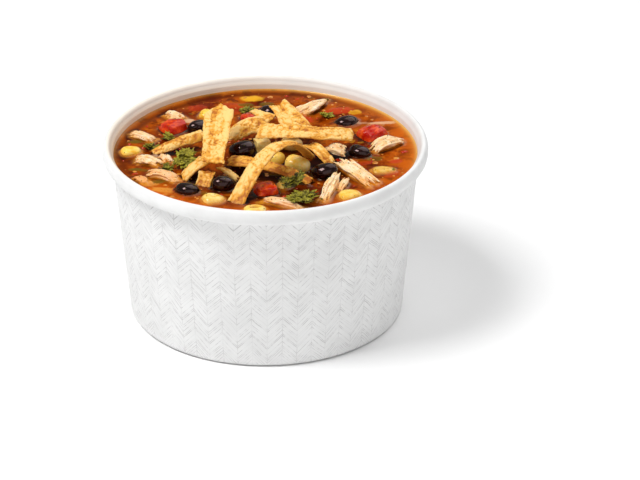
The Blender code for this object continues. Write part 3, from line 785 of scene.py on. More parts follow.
def bowl_profile():
    """Radius, height, printed share and stain with painted bounce light along the bowl's section, from
    its foot.
    """
    rows = [
        (BASE_RADIUS - HEM_WIDTH, 0.35, 0, 0),
        (BASE_RADIUS - HEM_WIDTH + 0.3, 0.05, 0, 0),
        (BASE_RADIUS - 1.4, 0.0, 0, 0),
        (BASE_RADIUS - 0.65, 0.3, 1, 0),
        (BASE_RADIUS - 0.10, 0.9, 1, 0),
    ]
    neck = BOWL_HEIGHT - BEAD_HEIGHT + 0.25
    for height in np.linspace(1.0, neck, 60):
        rows.append((wall_radius(height), height, 1, 0))
    middle = (RIM_RADIUS - BEAD_WIDTH / 2, BOWL_HEIGHT - BEAD_HEIGHT / 2)
    for degrees in np.linspace(-96, 156, 37):
        angle = math.radians(degrees)
        radius = middle[0] + BEAD_WIDTH / 2 * math.cos(angle)
        height = middle[1] + BEAD_HEIGHT / 2 * math.sin(angle)
        rows.append((radius, height, 0, LIP_STAIN_AND_BOUNCE_LIGHT * (degrees > 80)))
    lip = rows[-1][1]
    inner_neck = lip - 1.5
    rows.append((wall_radius(inner_neck) - WALL + 0.12, inner_neck + 0.5, 0, INNER_STAIN_AND_BOUNCE_LIGHT))
    for height in np.linspace(inner_neck, LEVEL - 3, 12):
        rows.append((wall_radius(height) - WALL, height, 0, INNER_STAIN_AND_BOUNCE_LIGHT))
    for height in np.linspace(LEVEL - 6, HEM_HEIGHT + 0.4, 10):
        rows.append((wall_radius(height) - WALL, height, 0, SOAKED_STAIN))
    rows.append((wall_radius(HEM_HEIGHT) - HEM_WIDTH, HEM_HEIGHT, 0, 0))
    rows.append((BASE_RADIUS - HEM_WIDTH + 0.15, HEM_HEIGHT / 2, 0, 0))
    return np.array(rows, float)


def make_bowl(finish):
    """The tapered wall with its rolled rim, base hem and the seam's overlap at the back."""
    rows = bowl_profile()
    angles = circle(BOWL_AROUND)
    radius = np.repeat(rows[:, 0:1], BOWL_AROUND, axis=1)
    height = np.repeat(rows[:, 1:2], BOWL_AROUND, axis=1)
    x = np.cos(angles) * radius
    y = np.sin(angles) * radius
    where = stacked(x / 30, y / 30, height / 40)
    wobble = soft_noise(where, 3) * 0.12
    seam = np.degrees(np.arctan2(y, x)) - SEAM_START
    lapped = (seam > 0) & (seam < SEAM_SPAN)
    overlap = np.where(lapped, 0.3 * (1 - seam / SEAM_SPAN), 0.0)
    push = wobble + overlap * rows[:, 2:3]
    x = x + np.cos(angles) * push
    y = y + np.sin(angles) * push
    points = stacked(x, y, height).reshape(-1, 3)
    printed = np.repeat(rows[:, 2], BOWL_AROUND)
    # Painted bounce light from the broth: the stain is made strongest on the left and back-left, where
    # the inner wall lies in shade
    away = 0.5 + 0.5 * np.cos(angles - math.radians(165))
    stain = (rows[:, 3:4] * (0.3 + 5.5 * away[None] ** 1.3)).clip(0, 0.95).ravel()
    faces = grid_faces(len(rows), BOWL_AROUND, wrap_rows=True, wrap_columns=True)
    piece = make_piece("bowl_paper_wall", points, faces, finish, printed=printed, stain=stain)
    return settle(piece, "paper", "bowl_wall")


# Strips and shreds


def curve_at(ends, t):
    """Points of the curve over three ends, with its direction, side and normal there."""
    start, crest, end = ends
    control = crest * 2 - (start + end) / 2
    t = np.asarray(t)[..., None]
    point = start * (1 - t) ** 2 + control * (2 * t * (1 - t)) + end * t**2
    along = (control - start) * (1 - t) * 2 + (end - control) * t * 2
    along = along / np.linalg.norm(along, axis=-1, keepdims=True)
    level = np.cross(end - start, UP)
    across = level - along * (along @ level)[..., None]
    across = across / np.linalg.norm(across, axis=-1, keepdims=True)
    return point, along, across, np.cross(across, along)


def rolled(along, across, normal, degrees):
    """Turns the side and normal about the curve's direction."""
    angle = np.radians(degrees)[..., None]
    side = across * np.cos(angle) + np.cross(along, across) * np.sin(angle)
    up = normal * np.cos(angle) + np.cross(along, normal) * np.sin(angle)
    return side, up


def strip_piece(name, finish):
    """A fried strip with blisters, pits, ragged edges and torn ends."""
    start, crest, end, widths, rolls, crease = STRIPS[name]
    ends = [absolute(point) for point in (start, crest, end)]
    draw = random.Random(name)
    shift = (draw.uniform(-50, 50), draw.uniform(-50, 50))
    torn_start, torn_end = ([draw.uniform(-1.0, 1.0) for _ in range(3)] for _ in range(2))
    seed = name_seed(name)
    length = np.linalg.norm(ends[1] - ends[0]) + np.linalg.norm(ends[2] - ends[1])

    # A grid along and across the strip, with torn ends
    stations = int(length / STRIP_STEP) + 2
    columns = int(max(widths) / STRIP_STEP) + 4
    even = np.linspace(-1, 1, columns)
    s = np.sin(np.linspace(-math.pi / 2, math.pi / 2, columns)) * 0.35 + even * 0.65
    notch = soft_noise(stacked(s * 3.1, 4.0, 0), seed) * 0.5
    notch = notch + soft_noise(stacked(s * 9.0, 9.0, 0), seed) * 0.2
    first = np.interp(s, (-1, 0, 1), TORN_STARTS.get(name, torn_start)) - notch
    last = np.interp(s, (-1, 0, 1), TORN_ENDS.get(name, torn_end)) + notch
    flat_t = np.linspace(0, 1, stations)[:, None]
    t = flat_t + (first * (1 - flat_t) + last * flat_t) / length
    point, along, across, normal = curve_at(ends, t)
    across, normal = rolled(along, across, normal, rolls[0] + (rolls[1] - rolls[0]) * t)

    # Its warp and ragged edges
    width = widths[0] + (widths[1] - widths[0]) * t
    u = t * length
    where = stacked(u / 9.0, 0, 0)
    warp = soft_noise(where + shift[0], seed) * 0.7
    side = np.sign(s)[None] * 3.0
    ragged = soft_noise(stacked(u / 5.0, side, shift[1]), seed) * 0.42
    ragged = ragged + layered_noise(stacked(u / 1.3, side * 3, 0), seed, 3) * 0.12
    offset = s[None] * width / 2 + np.sign(s[None]) * ragged * np.abs(s[None]) ** 2

    # Pores, blisters and long lanes
    flat = stacked(u, offset, seed % 91)
    stir = stacked(soft_noise(flat / 1.8, seed + 1), soft_noise(flat / 1.8, seed + 2))
    swirl = flat[..., :2] + 0.7 * stir
    pores = cell_distance(swirl.reshape(-1, 2) / 1.5, seed)[0].reshape(u.shape)
    domes, gap = cell_distance(swirl.reshape(-1, 2) / (3.0, 2.4), seed + 3)
    domes = domes.reshape(u.shape)
    gap = smooth_step(0.0, 0.30, gap.reshape(u.shape))
    relief = layered_noise(flat / 2.4, seed, 3) * 0.26
    pored = smooth_step(-0.3, 0.3, soft_noise(flat / 4.0, seed + 7))
    relief = relief - smooth_step(0.34, 0.05, pores) * 0.40 * pored
    relief = relief + (gap - 0.6) * 0.34 * smooth_step(0.95, 0.2, domes)
    lanes = stacked(u / 12.0, offset / 2.2, seed % 53)
    lanes = smooth_step(-0.1, 0.45, soft_noise(lanes, seed + 5))
    relief = relief - lanes * 0.22

    # The upper and lower face, joined round the edge
    bend = (1 - np.abs(s[None]) ** 1.6) * crease
    middle = point + across * offset[..., None] + normal * (warp + bend)[..., None]
    rim = np.abs(s[None]) ** 10 + 0 * u
    blunt = np.sqrt(np.clip(1 - np.abs(s[None]) ** 7, 0.12, 1))
    end_blunt = np.sqrt(np.clip(1 - np.abs(2 * flat_t - 1) ** 60, 0.15, 1))
    thick = STRIP_THICKNESS / 2 * blunt * end_blunt
    top = middle + normal * (thick + relief * 0.85)[..., None]
    below = layered_noise((flat + 31) / 2.4, seed + 9, 3) * 0.2
    bottom = middle - normal * (thick - relief * 0.25 + below)[..., None]
    points = np.concatenate([top.reshape(-1, 3), bottom.reshape(-1, 3)])
    count = stations * columns
    faces = [grid_faces(stations, columns)[:, ::-1], grid_faces(stations, columns) + count]
    index = np.arange(count).reshape(stations, columns)
    loop = np.concatenate([index[0, :-1], index[:-1, -1], index[-1, :0:-1], index[:0:-1, 0]])
    after = np.roll(loop, -1)
    faces.append(stacked(loop, after, after + count, loop + count))

    # What the material needs
    # Painted shade: darker in pits, lanes and the crease, and over a whole strip by its listed amount
    hollow_shade = np.clip(0.22 - relief * 1.5 + lanes * 0.12, 0, 1.3)
    hollow_shade = hollow_shade + np.clip(-crease, 0, 1) * smooth_step(0.45, 0.0, np.abs(s))[None] * 0.25
    hollow_shade = hollow_shade + STRIP_PAINTED_SHADE.get(name, 0.0)
    # More painted shade on the lower face
    hollow_shade = np.concatenate([hollow_shade.ravel(), np.clip(hollow_shade * 0.6 + 0.2, 0, 1.3).ravel()])
    under = np.concatenate([np.zeros(count), np.ones(count)])
    numbers = {"hollow_shade": hollow_shade, "rim": np.tile(rim.ravel(), 2), "under": under}
    piece = make_piece(name + "_fried", points, np.concatenate(faces), finish, **numbers)
    return settle(piece, "tortilla", name)


def shred_piece(name, finish):
    """Pulled chicken: a bundle of tapered fibres fused into one ridged piece."""
    start, crest, end, width, thickness, seed = SHREDS[name]
    ends = [absolute(point) for point in (start, crest, end)]
    draw = random.Random(seed)
    count = int(width * thickness * 1.25)
    bundle = Gathered()
    stations = 26
    sides = 7
    for index in range(count):
        share = math.sqrt((index + 0.5) / count)
        angle = index * GOLDEN_ANGLE
        u = share * math.cos(angle) + draw.uniform(-0.08, 0.08)
        v = share * math.sin(angle) + draw.uniform(-0.08, 0.08)
        first = -0.07 + 0.34 * draw.random() ** 1.5
        last = 1.07 - 0.34 * draw.random() ** 1.5
        radius = draw.uniform(0.40, 0.78)
        t = np.linspace(first, last, stations)
        point, _, across, normal = curve_at(ends, t)
        inside = np.clip(t, 0, 1)
        if name == "chicken_wedge":
            full = np.clip(0.3 + inside / 0.3, 0, 1) * np.clip((1.06 - inside) / 0.72, 0.06, 1)
            point = point + across * (1.6 * np.sin(math.pi * inside))[:, None]
        else:
            full = 0.42 + 0.58 * np.sin(math.pi * (0.13 + 0.72 * inside)) ** 0.7
        splay = 1 + 0.45 * np.abs(2 * t - 1) ** 4
        seeds = stacked(t * 3.2 + index * 7.0, seed, 0)
        wander = soft_noise(seeds, seed) * 0.55
        lift = soft_noise(seeds + 40, seed) * 0.4
        center = point + across * (u * width / 2 * 0.88 * full * splay + wander)[:, None]
        center = center + normal * (v * thickness / 2 * 0.82 * full + lift)[:, None]
        inner = np.linspace(-1, 1, stations)
        thick = radius * np.clip(1 - np.abs(inner) ** 3, 0.03, 1) ** 0.6
        thick = thick * (1 + 0.18 * soft_noise(seeds * 2.3, seed + 3))
        angles = circle(sides)
        ring = across[:, None] * np.cos(angles)[None, :, None] * 1.15
        ring = ring + normal[:, None] * np.sin(angles)[None, :, None]
        tube = center[:, None] + ring * thick[:, None, None]
        faces = grid_faces(stations, sides, wrap_columns=True).tolist()
        faces.append(list(range(sides))[::-1])
        faces.append(list(range((stations - 1) * sides, stations * sides)))
        bundle.take(tube.reshape(-1, 3), faces)
    piece = make_piece(name + "_pulled", bundle.points(), bundle.faces, finish)
    mesh = remeshed(piece, SHRED_VOXEL)

    # Finer ridges along the fibres
    where = points_of(mesh)
    chord = ends[2] - ends[0]
    chord = chord / np.linalg.norm(chord)
    across = np.cross(chord, UP)
    across = across / np.linalg.norm(across)
    normal = np.cross(across, chord)
    local = where - ends[0]
    grain = stacked(local @ chord * 0.12, local @ across * 1.3, local @ normal * 1.3)
    grain = grain + seed * 3.7
    ridges = layered_noise(grain * np.array((1.6, 1.4, 1.4)), seed, 2)
    set_points(mesh, where + normals_of(mesh) * (ridges * 0.16)[:, None])
    set_layer(mesh, "grain", grain, "FLOAT_VECTOR", "vector")
    # Painted shade in the grooves between ridges
    set_layer(mesh, "hollow_shade", np.clip(-ridges * 1.3 - 0.1, 0, 1))
    set_layer(mesh, "stained", np.full(len(where), STAINED.get(name, 0.0)))
    mesh.shade_smooth()
    return settle(piece, "chicken", name)


# Rounded pieces


def ball_points(rings, sides):
    """Angles up and around for a ball, pole to pole, with its faces."""
    up = np.linspace(-math.pi / 2, math.pi / 2, rings + 1)[1:-1]
    around = circle(sides)
    grid_up, grid_around = np.meshgrid(up, around, indexing="ij")
    up = np.concatenate([grid_up.ravel(), (-math.pi / 2, math.pi / 2)])
    around = np.concatenate([grid_around.ravel(), (0.0, 0.0)])
    faces = grid_faces(rings - 1, sides, wrap_columns=True).tolist()
    low = (rings - 1) * sides
    high = low + 1
    last = (rings - 2) * sides
    for side in range(sides):
        after = (side + 1) % sides
        faces.append([low, after, side])
        faces.append([high, last + side, last + after])
    return up, around, faces


def turned(heading, pitch):
    """A pitch about the side axis and then a turn about the upright one, in degrees."""
    turn = Matrix.Rotation(math.radians(heading), 3, "Z")
    return turn @ Matrix.Rotation(math.radians(pitch), 3, "Y")


def placed(points, center, heading, pitch=0.0):
    return points @ np.array(turned(heading, pitch)).T + absolute(center)


def bean_piece(name, finish):
    """A bean: a blunt ball with a dent, an eye and a faintly rippled skin."""
    center, heading, pitch, factor = BEANS[name]
    seed = name_seed(name)
    up, around, faces = ball_points(*BEAN_BALL)
    length, width, height = (size * factor / 2 for size in BEAN_SIZE)
    flat = np.abs(np.cos(up)) ** 0.86
    x = length * flat * np.cos(around)
    y = width * flat * np.sin(around)
    z = height * np.sign(up) * np.abs(np.sin(up)) ** 0.92
    dent = np.exp(-((x / (length * 0.34)) ** 2)) * smooth_step(0.2, 1.0, np.sin(around) * np.cos(up))
    y = y + 0.18 * width * (x / length) ** 2 - dent * width * 0.10
    points = stacked(x, y, z)
    outward = points / np.linalg.norm(points, axis=-1, keepdims=True)
    points = points + outward * (soft_noise(points / 3.0 + seed, seed) * 0.16)[:, None]
    ripple = layered_noise(points * (0.3, 1.1, 1.1) + seed, seed, 2) * 0.014
    points = points + outward * ripple[:, None]
    eye = smooth_step(1.0, 0.72, np.hypot(x / 1.5, z / 0.65)) * (np.sin(around) > 0.4)
    piece = make_piece(name + "_skin", placed(points, center, heading, pitch), faces, finish, eye=eye)
    return settle(piece, "black_bean", name)


def kernel_piece(name, finish):
    """A kernel: a squared ball that tapers to its tip, with a dimple."""
    center, size, heading, pitch, tone = KERNELS[name]
    draw = random.Random(name)
    seed = name_seed(name)
    up, around, faces = ball_points(*KERNEL_BALL)
    lumps = [draw.uniform(0, 6) for _ in range(2)]

    def rounded(value):
        return np.sign(value) * np.abs(value) ** 0.75

    x = rounded(np.cos(up)) * rounded(np.cos(around))
    y = rounded(np.cos(up)) * rounded(np.sin(around))
    z = rounded(np.sin(up))
    lump = 1 + 0.03 * np.sin(lumps[0] + 3 * around) * np.cos(lumps[1] + 2 * up)
    points = stacked(x, y * (1 - 0.13 * x), z * (1 - 0.08 * x)) * lump[:, None]
    dimple = np.exp(-((x + 0.15) ** 2 + y**2) / 0.16) * (z > 0)
    points = points * (np.array(size) / 2)
    points[:, 2] -= dimple * size[2] * (0.02 if name.startswith("hominy") else 0.045)
    points = points + (soft_noise(points / 2.2 + seed, seed) * 0.22)[:, None] * points / np.array(size)
    tip = smooth_step(0.55, 0.98, x) * np.clip(1 + soft_noise(points, seed), 0, 1.5) / 1.5
    pit = np.full(len(x), 0.45 if name == "corn_right" else 0.0)
    if name == "corn_rim":
        pit = np.exp(-(((x + 0.05) / 0.42) ** 2 + (y / 0.36) ** 2) ** 2) * (z > 0) * 0.8
        points[:, 2] -= pit * 0.9
    numbers = {"tone": np.full(len(x), tone), "tip": tip, "pit": pit}
    points = placed(points, center, heading, pitch)
    piece = make_piece(name + "_kernel", points, faces, finish, **numbers)
    return settle(piece, "corn", name)


def cube_piece(name, finishes):
    """A diced piece: a cube with softened corners, rounder for tomato."""
    center, size, heading, kind = CUBES[name]
    draw = random.Random(name)
    seed = name_seed(name)
    roundness, ripple, layers = (0.62, 0.20, 2) if kind == "tomato" else (0.14, 0.1, 3)
    build = bmesh.new()
    bmesh.ops.create_cube(build, size=2.0)
    bmesh.ops.subdivide_edges(build, edges=build.edges[:], cuts=CUBE_CUTS, use_grid_fill=True)
    shift = Vector([draw.uniform(-20, 20) for _ in range(3)])
    for vert in build.verts:
        sharp = Vector([max(-0.94, min(0.94, value)) for value in vert.co])
        sharp = sharp + (vert.co - sharp).normalized() * 0.06
        place = sharp.lerp(vert.co.normalized() * 1.18, roundness)
        place *= 1 + 0.16 * noise.noise(shift + place)
        vert.co = Vector([place[axis] * size[axis] / 2 * 0.9 for axis in range(3)])
    mesh = bpy.data.meshes.new("cube")
    build.to_mesh(mesh)
    build.free()
    points = points_of(mesh) * MM
    normals = normals_of(mesh)
    faces = [list(face.vertices) for face in mesh.polygons]
    bpy.data.meshes.remove(mesh)
    points = points + normals * (layered_noise(points / 3.6 + seed, seed, layers) * ripple)[:, None]
    points = placed(points, center, heading)
    piece = make_piece(name + "_diced", points, faces, finishes[kind])
    return settle(piece, kind, name)


def leaf_outline(angle, seed):
    """How far a lobed and toothed leaf reaches at an angle, as a share of its size."""
    lobes = 0.50 + 0.40 * np.abs(np.cos(2.5 * angle)) ** 0.8
    teeth = 0.12 * np.cos(15 * angle + seed) + 0.06 * np.cos(31 * angle + seed * 2)
    return lobes + teeth


def leaflet(center, heading, tilt, length, width, seed, curl):
    """One leaflet's points, faces, veins and painted shade where it dips low."""
    spokes = 120
    rings = 12
    angle = np.linspace(-math.pi, math.pi, spokes, endpoint=False)
    fraction = np.linspace(0.03, 1, rings) ** 0.8
    reach = leaf_outline(angle, seed)[None] * fraction[:, None]
    x = np.cos(angle)[None] * reach * length / 2
    y = np.sin(angle)[None] * reach * width / 2
    where = stacked(x / 3.4, y / 3.4, seed * 3.1)
    wave = layered_noise(where, seed, 3) * curl
    wave = wave + np.cos(5 * angle)[None] * fraction[:, None] ** 2 * curl * 0.45
    wave = wave + np.cos(15 * angle + seed)[None] * fraction[:, None] ** 3 * curl * 0.2
    vein = np.abs(np.cos(2.5 * angle))[None] ** 24 * (1 - 0.5 * fraction[:, None])
    branches = 0.7 * np.abs(np.sin(14 * angle + seed))[None] ** 12 * (fraction[:, None] > 0.25)
    vein = np.maximum(vein, branches)
    z = wave - vein * 0.12
    # Painted shade where the leaflet dips down
    low = smooth_step(0.05, -0.75, wave / curl) * 0.9
    half = 0.16 * np.clip(1.15 - fraction[:, None] ** 8, 0.3, 1) + 0 * x
    top = stacked(x, y, z + half).reshape(-1, 3)
    bottom = stacked(x, y, z - half).reshape(-1, 3)
    count = spokes * rings
    caps = np.array([[0, 0, top[:spokes, 2].mean()], [0, 0, bottom[:spokes, 2].mean()]])
    points = np.concatenate([top, bottom, caps])
    sheet = grid_faces(rings, spokes, wrap_columns=True)
    faces = sheet.tolist() + (sheet[:, ::-1] + count).tolist()
    for spoke in range(spokes):
        after = (spoke + 1) % spokes
        last = (rings - 1) * spokes
        faces.append([last + spoke, last + after, count + last + after, count + last + spoke])
        faces.append([2 * count, after, spoke])
        faces.append([2 * count + 1, count + spoke, count + after])
    points = points @ np.array(turned(heading, -tilt)).T + np.array(center)
    strength = np.concatenate([vein.ravel(), vein.ravel(), (1.0, 1.0)])
    depth = np.concatenate([low.ravel(), low.ravel(), (0.5, 0.5)])
    return points, faces, strength, depth


def leaf_piece(name, finish):
    """A herb leaf: one broad leaflet with smaller ones on and beside it."""
    stalk, length, heading, tilt, seed = LEAVES[name]
    draw = random.Random(seed)
    turn = turned(heading, -tilt)
    base = absolute(stalk)
    sprigs = [(0.52, 0.0, 0.0, 1.0, 0.92)]
    for _ in range(3 if length < 10 else 7):
        sideways = draw.uniform(-0.30, 0.30)
        forward, lift = draw.uniform(0.25, 0.85), draw.uniform(0.3, 0.9)
        sprigs.append((forward, sideways, lift, draw.uniform(0.34, 0.55), 0.9))
    sprig = Gathered()
    veins = []
    depths = []
    for order, (forward, sideways, lift, size, slim) in enumerate(sprigs):
        center = base + np.array(turn @ Vector((forward * length, sideways * length, lift)))
        spin, lean, curl = 0, tilt, 0.9
        if order:
            spin, lean, curl = draw.uniform(-100, 100), draw.uniform(-14, 30), 0.6
        long = length * size
        points, faces, vein, depth = leaflet(
            center, heading + spin, lean, long, long * slim, seed + order, curl
        )
        sprig.take(points, faces)
        veins.append(vein)
        depths.append(depth)
    low = np.clip(np.concatenate(depths) + LEAF_SHADE.get(name, 0.0), 0, 0.95)
    numbers = {"vein": np.concatenate(veins), "low": low}
    piece = make_piece(name + "_sprig", sprig.points(), sprig.faces, finish, **numbers)
    return settle(piece, "herb", name)


# Broth


def surface_tree(pieces):
    """One search tree over the pieces' faces, in millimetres."""
    joined = Gathered()
    for piece in pieces:
        joined.take(points_of(piece.data), [face.vertices for face in piece.data.polygons])
    return BVHTree.FromPolygons(joined.points().tolist(), joined.faces)


def sunken_look(x, y):
    """Colour, share and swell of what lies just under the broth at each point."""
    color = np.zeros((len(x), 3))
    share = np.zeros(len(x))
    swell = np.zeros(len(x))
    ragged = layered_noise(stacked(x / 2.6, y / 2.6, 0), 21, 3)
    draw = random.Random(5)
    small = []
    count, spread = SUNKEN_BITS
    for _ in range(count):
        out = math.sqrt(draw.random()) * spread
        turn = draw.uniform(0, 2 * math.pi)
        long = draw.uniform(1.6, 5.5)
        kind = draw.choice((RED, RED, ORANGE, ORANGE, PALE, GREEN, YELLOW))
        place = (*polar(out, turn), long, long * draw.uniform(0.4, 0.8))
        small.append((*place, draw.uniform(0, 180), kind, draw.uniform(0.25, 0.7)))
    for cx, cy, length, width, heading, tint, strength in SUNKEN + small:
        angle = math.radians(heading)
        along = (x - cx) * math.cos(angle) + (y - cy) * math.sin(angle)
        side = (y - cy) * math.cos(angle) - (x - cx) * math.sin(angle)
        far = (np.abs(along / (length / 2)) ** 2.6 + np.abs(side / (width / 2)) ** 2.6) ** (1 / 2.6)
        mask = smooth_step(1.15, 0.70, far + ragged * 0.18) * strength
        stronger = mask > share
        color[stronger] = tint
        share = np.maximum(share, mask)
        swell = np.maximum(swell, smooth_step(1.2, 0.3, far + ragged * 0.1) * 0.35 * strength)
    return color, share, swell


def broth_height(x, y, radius, edge):
    """Height over the broth's level from slow waves and the rise at the wall."""
    waves = layered_noise(stacked(x / 9.0, y / 9.0, 0), 8, 3) * 0.07
    return waves + WALL_RISE * np.exp(-(edge - radius) / 1.1)


def overhung(x, y, tree):
    """How much of the sky the pieces hide from each point of the broth."""
    half = 70  # the grid's half width, one step a millimetre
    start_height = LEVEL + 0.6
    farthest = 11.0
    steps = np.linspace(-half, half, 2 * half + 1)
    hidden = np.zeros((len(steps), len(steps)))
    slants = [(0.0, 0.0, 1.0)]
    for turn in range(8):
        angle = math.radians(turn * 45 + 10)
        slants.append((math.cos(angle), math.sin(angle), 1.1))
    for row, place_y in enumerate(steps):
        for column, place_x in enumerate(steps):
            if place_x**2 + place_y**2 > half**2:
                continue
            start = (place_x, place_y, start_height)
            blocked = sum(tree.ray_cast(start, slant, farthest)[0] is not None for slant in slants)
            hidden[row, column] = blocked / len(slants)
    place = (np.stack([y, x]) + half).clip(0, 2 * half - 0.01)
    base = place.astype(int)
    part = place - base
    r, c = base
    low = hidden[r, c] * (1 - part[1]) + hidden[r, c + 1] * part[1]
    high = hidden[r + 1, c] * (1 - part[1]) + hidden[r + 1, c + 1] * part[1]
    return smooth_step(0.08, 0.48, low * (1 - part[0]) + high * part[0])


def distances(x, y, tree, limit):
    """Millimetres from points of the level broth to the nearest face, or FAR over the limit."""
    found = [tree.find_nearest((*place, LEVEL), limit)[3] for place in zip(x, y)]
    return np.array([FAR if away is None else away for away in found])


def toward(angle, degrees):
    """From 1 where a point's direction is the given one to -1 where it is opposite."""
    return np.cos(angle - math.radians(degrees))


def make_broth(finish, tree, pale_tree):
    """The broth's surface with the numbers for its material, closed by a plain cup below."""
    edge = wall_radius(LEVEL + WALL_RISE) - WALL - 0.03
    radii = np.linspace(0, 1, BROTH_RINGS + 1)[1:] ** 0.86 * edge
    angles = circle(BROTH_AROUND)
    radius, angle = (grid.ravel() for grid in np.meshgrid(radii, angles, indexing="ij"))
    x = radius * np.cos(angle)
    y = radius * np.sin(angle)
    tint, sunk, swell = sunken_look(x, y)
    reach = distances(x, y, tree, 3.5)
    pale = distances(x, y, pale_tree, 3.0)
    height = broth_height(x, y, radius, edge) + swell + PIECE_RISE * np.exp(-reach / 0.65)

    # The thin bright edge at the wall, with painted light that makes it wider and warmer at the lit right
    # side and at the front
    inward = edge - radius
    outer = radius / edge
    right = toward(angle, 10)
    front = smooth_step(0.3, 0.9, toward(angle, -95)) * smooth_step(0.72, 0.94, outer)
    painted_warm_light = 0.8 * smooth_step(0.3, 0.98, right) * smooth_step(0.76, 1.0, outer)
    painted_warm_light = np.maximum(painted_warm_light, front)
    clear = np.maximum(front, smooth_step(0.2, 0.9, right) * smooth_step(0.35, 0.8, outer))
    edge_film_and_light = np.exp(-inward / 0.55) * (0.22 + 0.78 * smooth_step(-0.2, 0.7, right))
    shallow_and_light = np.exp(-inward / (0.8 + 0.6 * painted_warm_light)) * 0.95
    shallow_and_light = shallow_and_light * (0.42 + 0.58 * smooth_step(-0.3, 0.8, right))

    # Painted shade in the middle under the pile and round the pieces, a darker band by the back-left
    # wall, painted light round pale pieces, and painted shade under the overhangs of the others
    core = 0.9 * smooth_step(34.0, 14.0, np.hypot(x - 2.0, (y + 16.0) * 1.15))
    bay = np.exp(-(((inward - 4.0) / 2.6) ** 2)) * smooth_step(0.2, -0.4, toward(angle, -60))
    glow = np.exp(-((pale / 0.85) ** 2)) * (1 - core)
    shade = overhung(x, y, tree) * (1 - 0.9 * glow)
    shallow_and_light = shallow_and_light + 0.65 * glow * (1 - shade)
    near = smooth_step(4.5, 0.3, reach) * (1 - 0.7 * clear) * smooth_step(0.0, 1.3, pale)
    near = np.maximum(near + 1.2 * bay, core)
    wave = np.clip(np.exp(-reach / 0.7) + edge_film_and_light, 0, 1)

    foot_radius = wall_radius(FLOOR_TOP) - WALL - 0.3
    foot_height = FLOOR_TOP + 0.2
    foot = stacked(np.cos(angles) * foot_radius, np.sin(angles) * foot_radius, foot_height)
    middles = ([[0.0, 0.0, LEVEL]], [[0.0, 0.0, foot_height]])
    points = np.concatenate([stacked(x, y, LEVEL + height), middles[0], foot, middles[1]])
    count = len(x)
    last = count - BROTH_AROUND
    faces = grid_faces(BROTH_RINGS, BROTH_AROUND, wrap_columns=True).tolist()
    for step in range(BROTH_AROUND):
        after = (step + 1) % BROTH_AROUND
        faces.append([count, step, after])
        faces.append([last + step, count + 1 + step, count + 1 + after, last + after])
        faces.append([count + 1 + BROTH_AROUND, count + 1 + after, count + 1 + step])
    numbers = {"sunk": sunk, "shallow_and_light": shallow_and_light, "edge_film_and_light": edge_film_and_light, "painted_warm_light": painted_warm_light}
    numbers |= {"shade": shade, "wave": wave, "near": near}
    pad = np.zeros(len(points) - count)
    numbers = {key: np.concatenate([values, pad]) for key, values in numbers.items()}
    piece = make_piece("broth_surface", points, faces, finish, **numbers)
    tint = np.insert(np.concatenate([tint, np.zeros((len(pad), 3))]), 3, 1.0, axis=1)
    set_layer(piece.data, "tint", tint, "FLOAT_COLOR", "color")
    return settle(piece, "broth", "broth")


def lens(center, radius, height):
    """A low dome with a flat base, for a drop that floats."""
    rows = 4
    sides = 18
    points = [(center[0], center[1], center[2] + height)]
    faces = []
    for row in range(1, rows + 1):
        angle = math.pi / 2 * row / rows
        out = radius * math.sin(angle)
        drop = center[2] + (height * math.cos(angle) - (0.15 if row == rows else 0.0))
        for side in range(sides):
            turn = 2 * math.pi * side / sides
            points.append((center[0] + out * math.cos(turn), center[1] + out * math.sin(turn), drop))
    for side in range(sides):
        after = (side + 1) % sides
        faces.append([0, 1 + side, 1 + after])
        for row in range(rows - 1):
            low = 1 + row * sides
            faces.append([low + side, low + sides + side, low + sides + after, low + after])
    low = 1 + (rows - 1) * sides
    faces.append([low + side for side in range(sides)][::-1])
    return points, faces


def make_drops(finish, broth_tree, tree):
    """Drops of oil that float clear of the toppings."""
    draw = random.Random(71)
    drops = Gathered()
    count, spread = OIL_DROPS
    while len(drops.parts) < count:
        angle = draw.uniform(0, 2 * math.pi)
        out = math.sqrt(draw.uniform(0.02, 1.0)) * spread
        radius = min(1.5, 0.22 + draw.expovariate(3.2))
        x, y = polar(out, angle)
        if tree.find_nearest((x, y, LEVEL), radius + 0.4)[3] is not None:
            continue
        level = broth_tree.ray_cast((x, y, LEVEL + 4), (0, 0, -1))[0][2]
        drops.take(*lens((x, y, level - 0.03), radius, 0.07 + radius * 0.09))
    piece = make_piece("oil_drops", drops.points(), drops.faces, finish)
    return settle(piece, "broth")


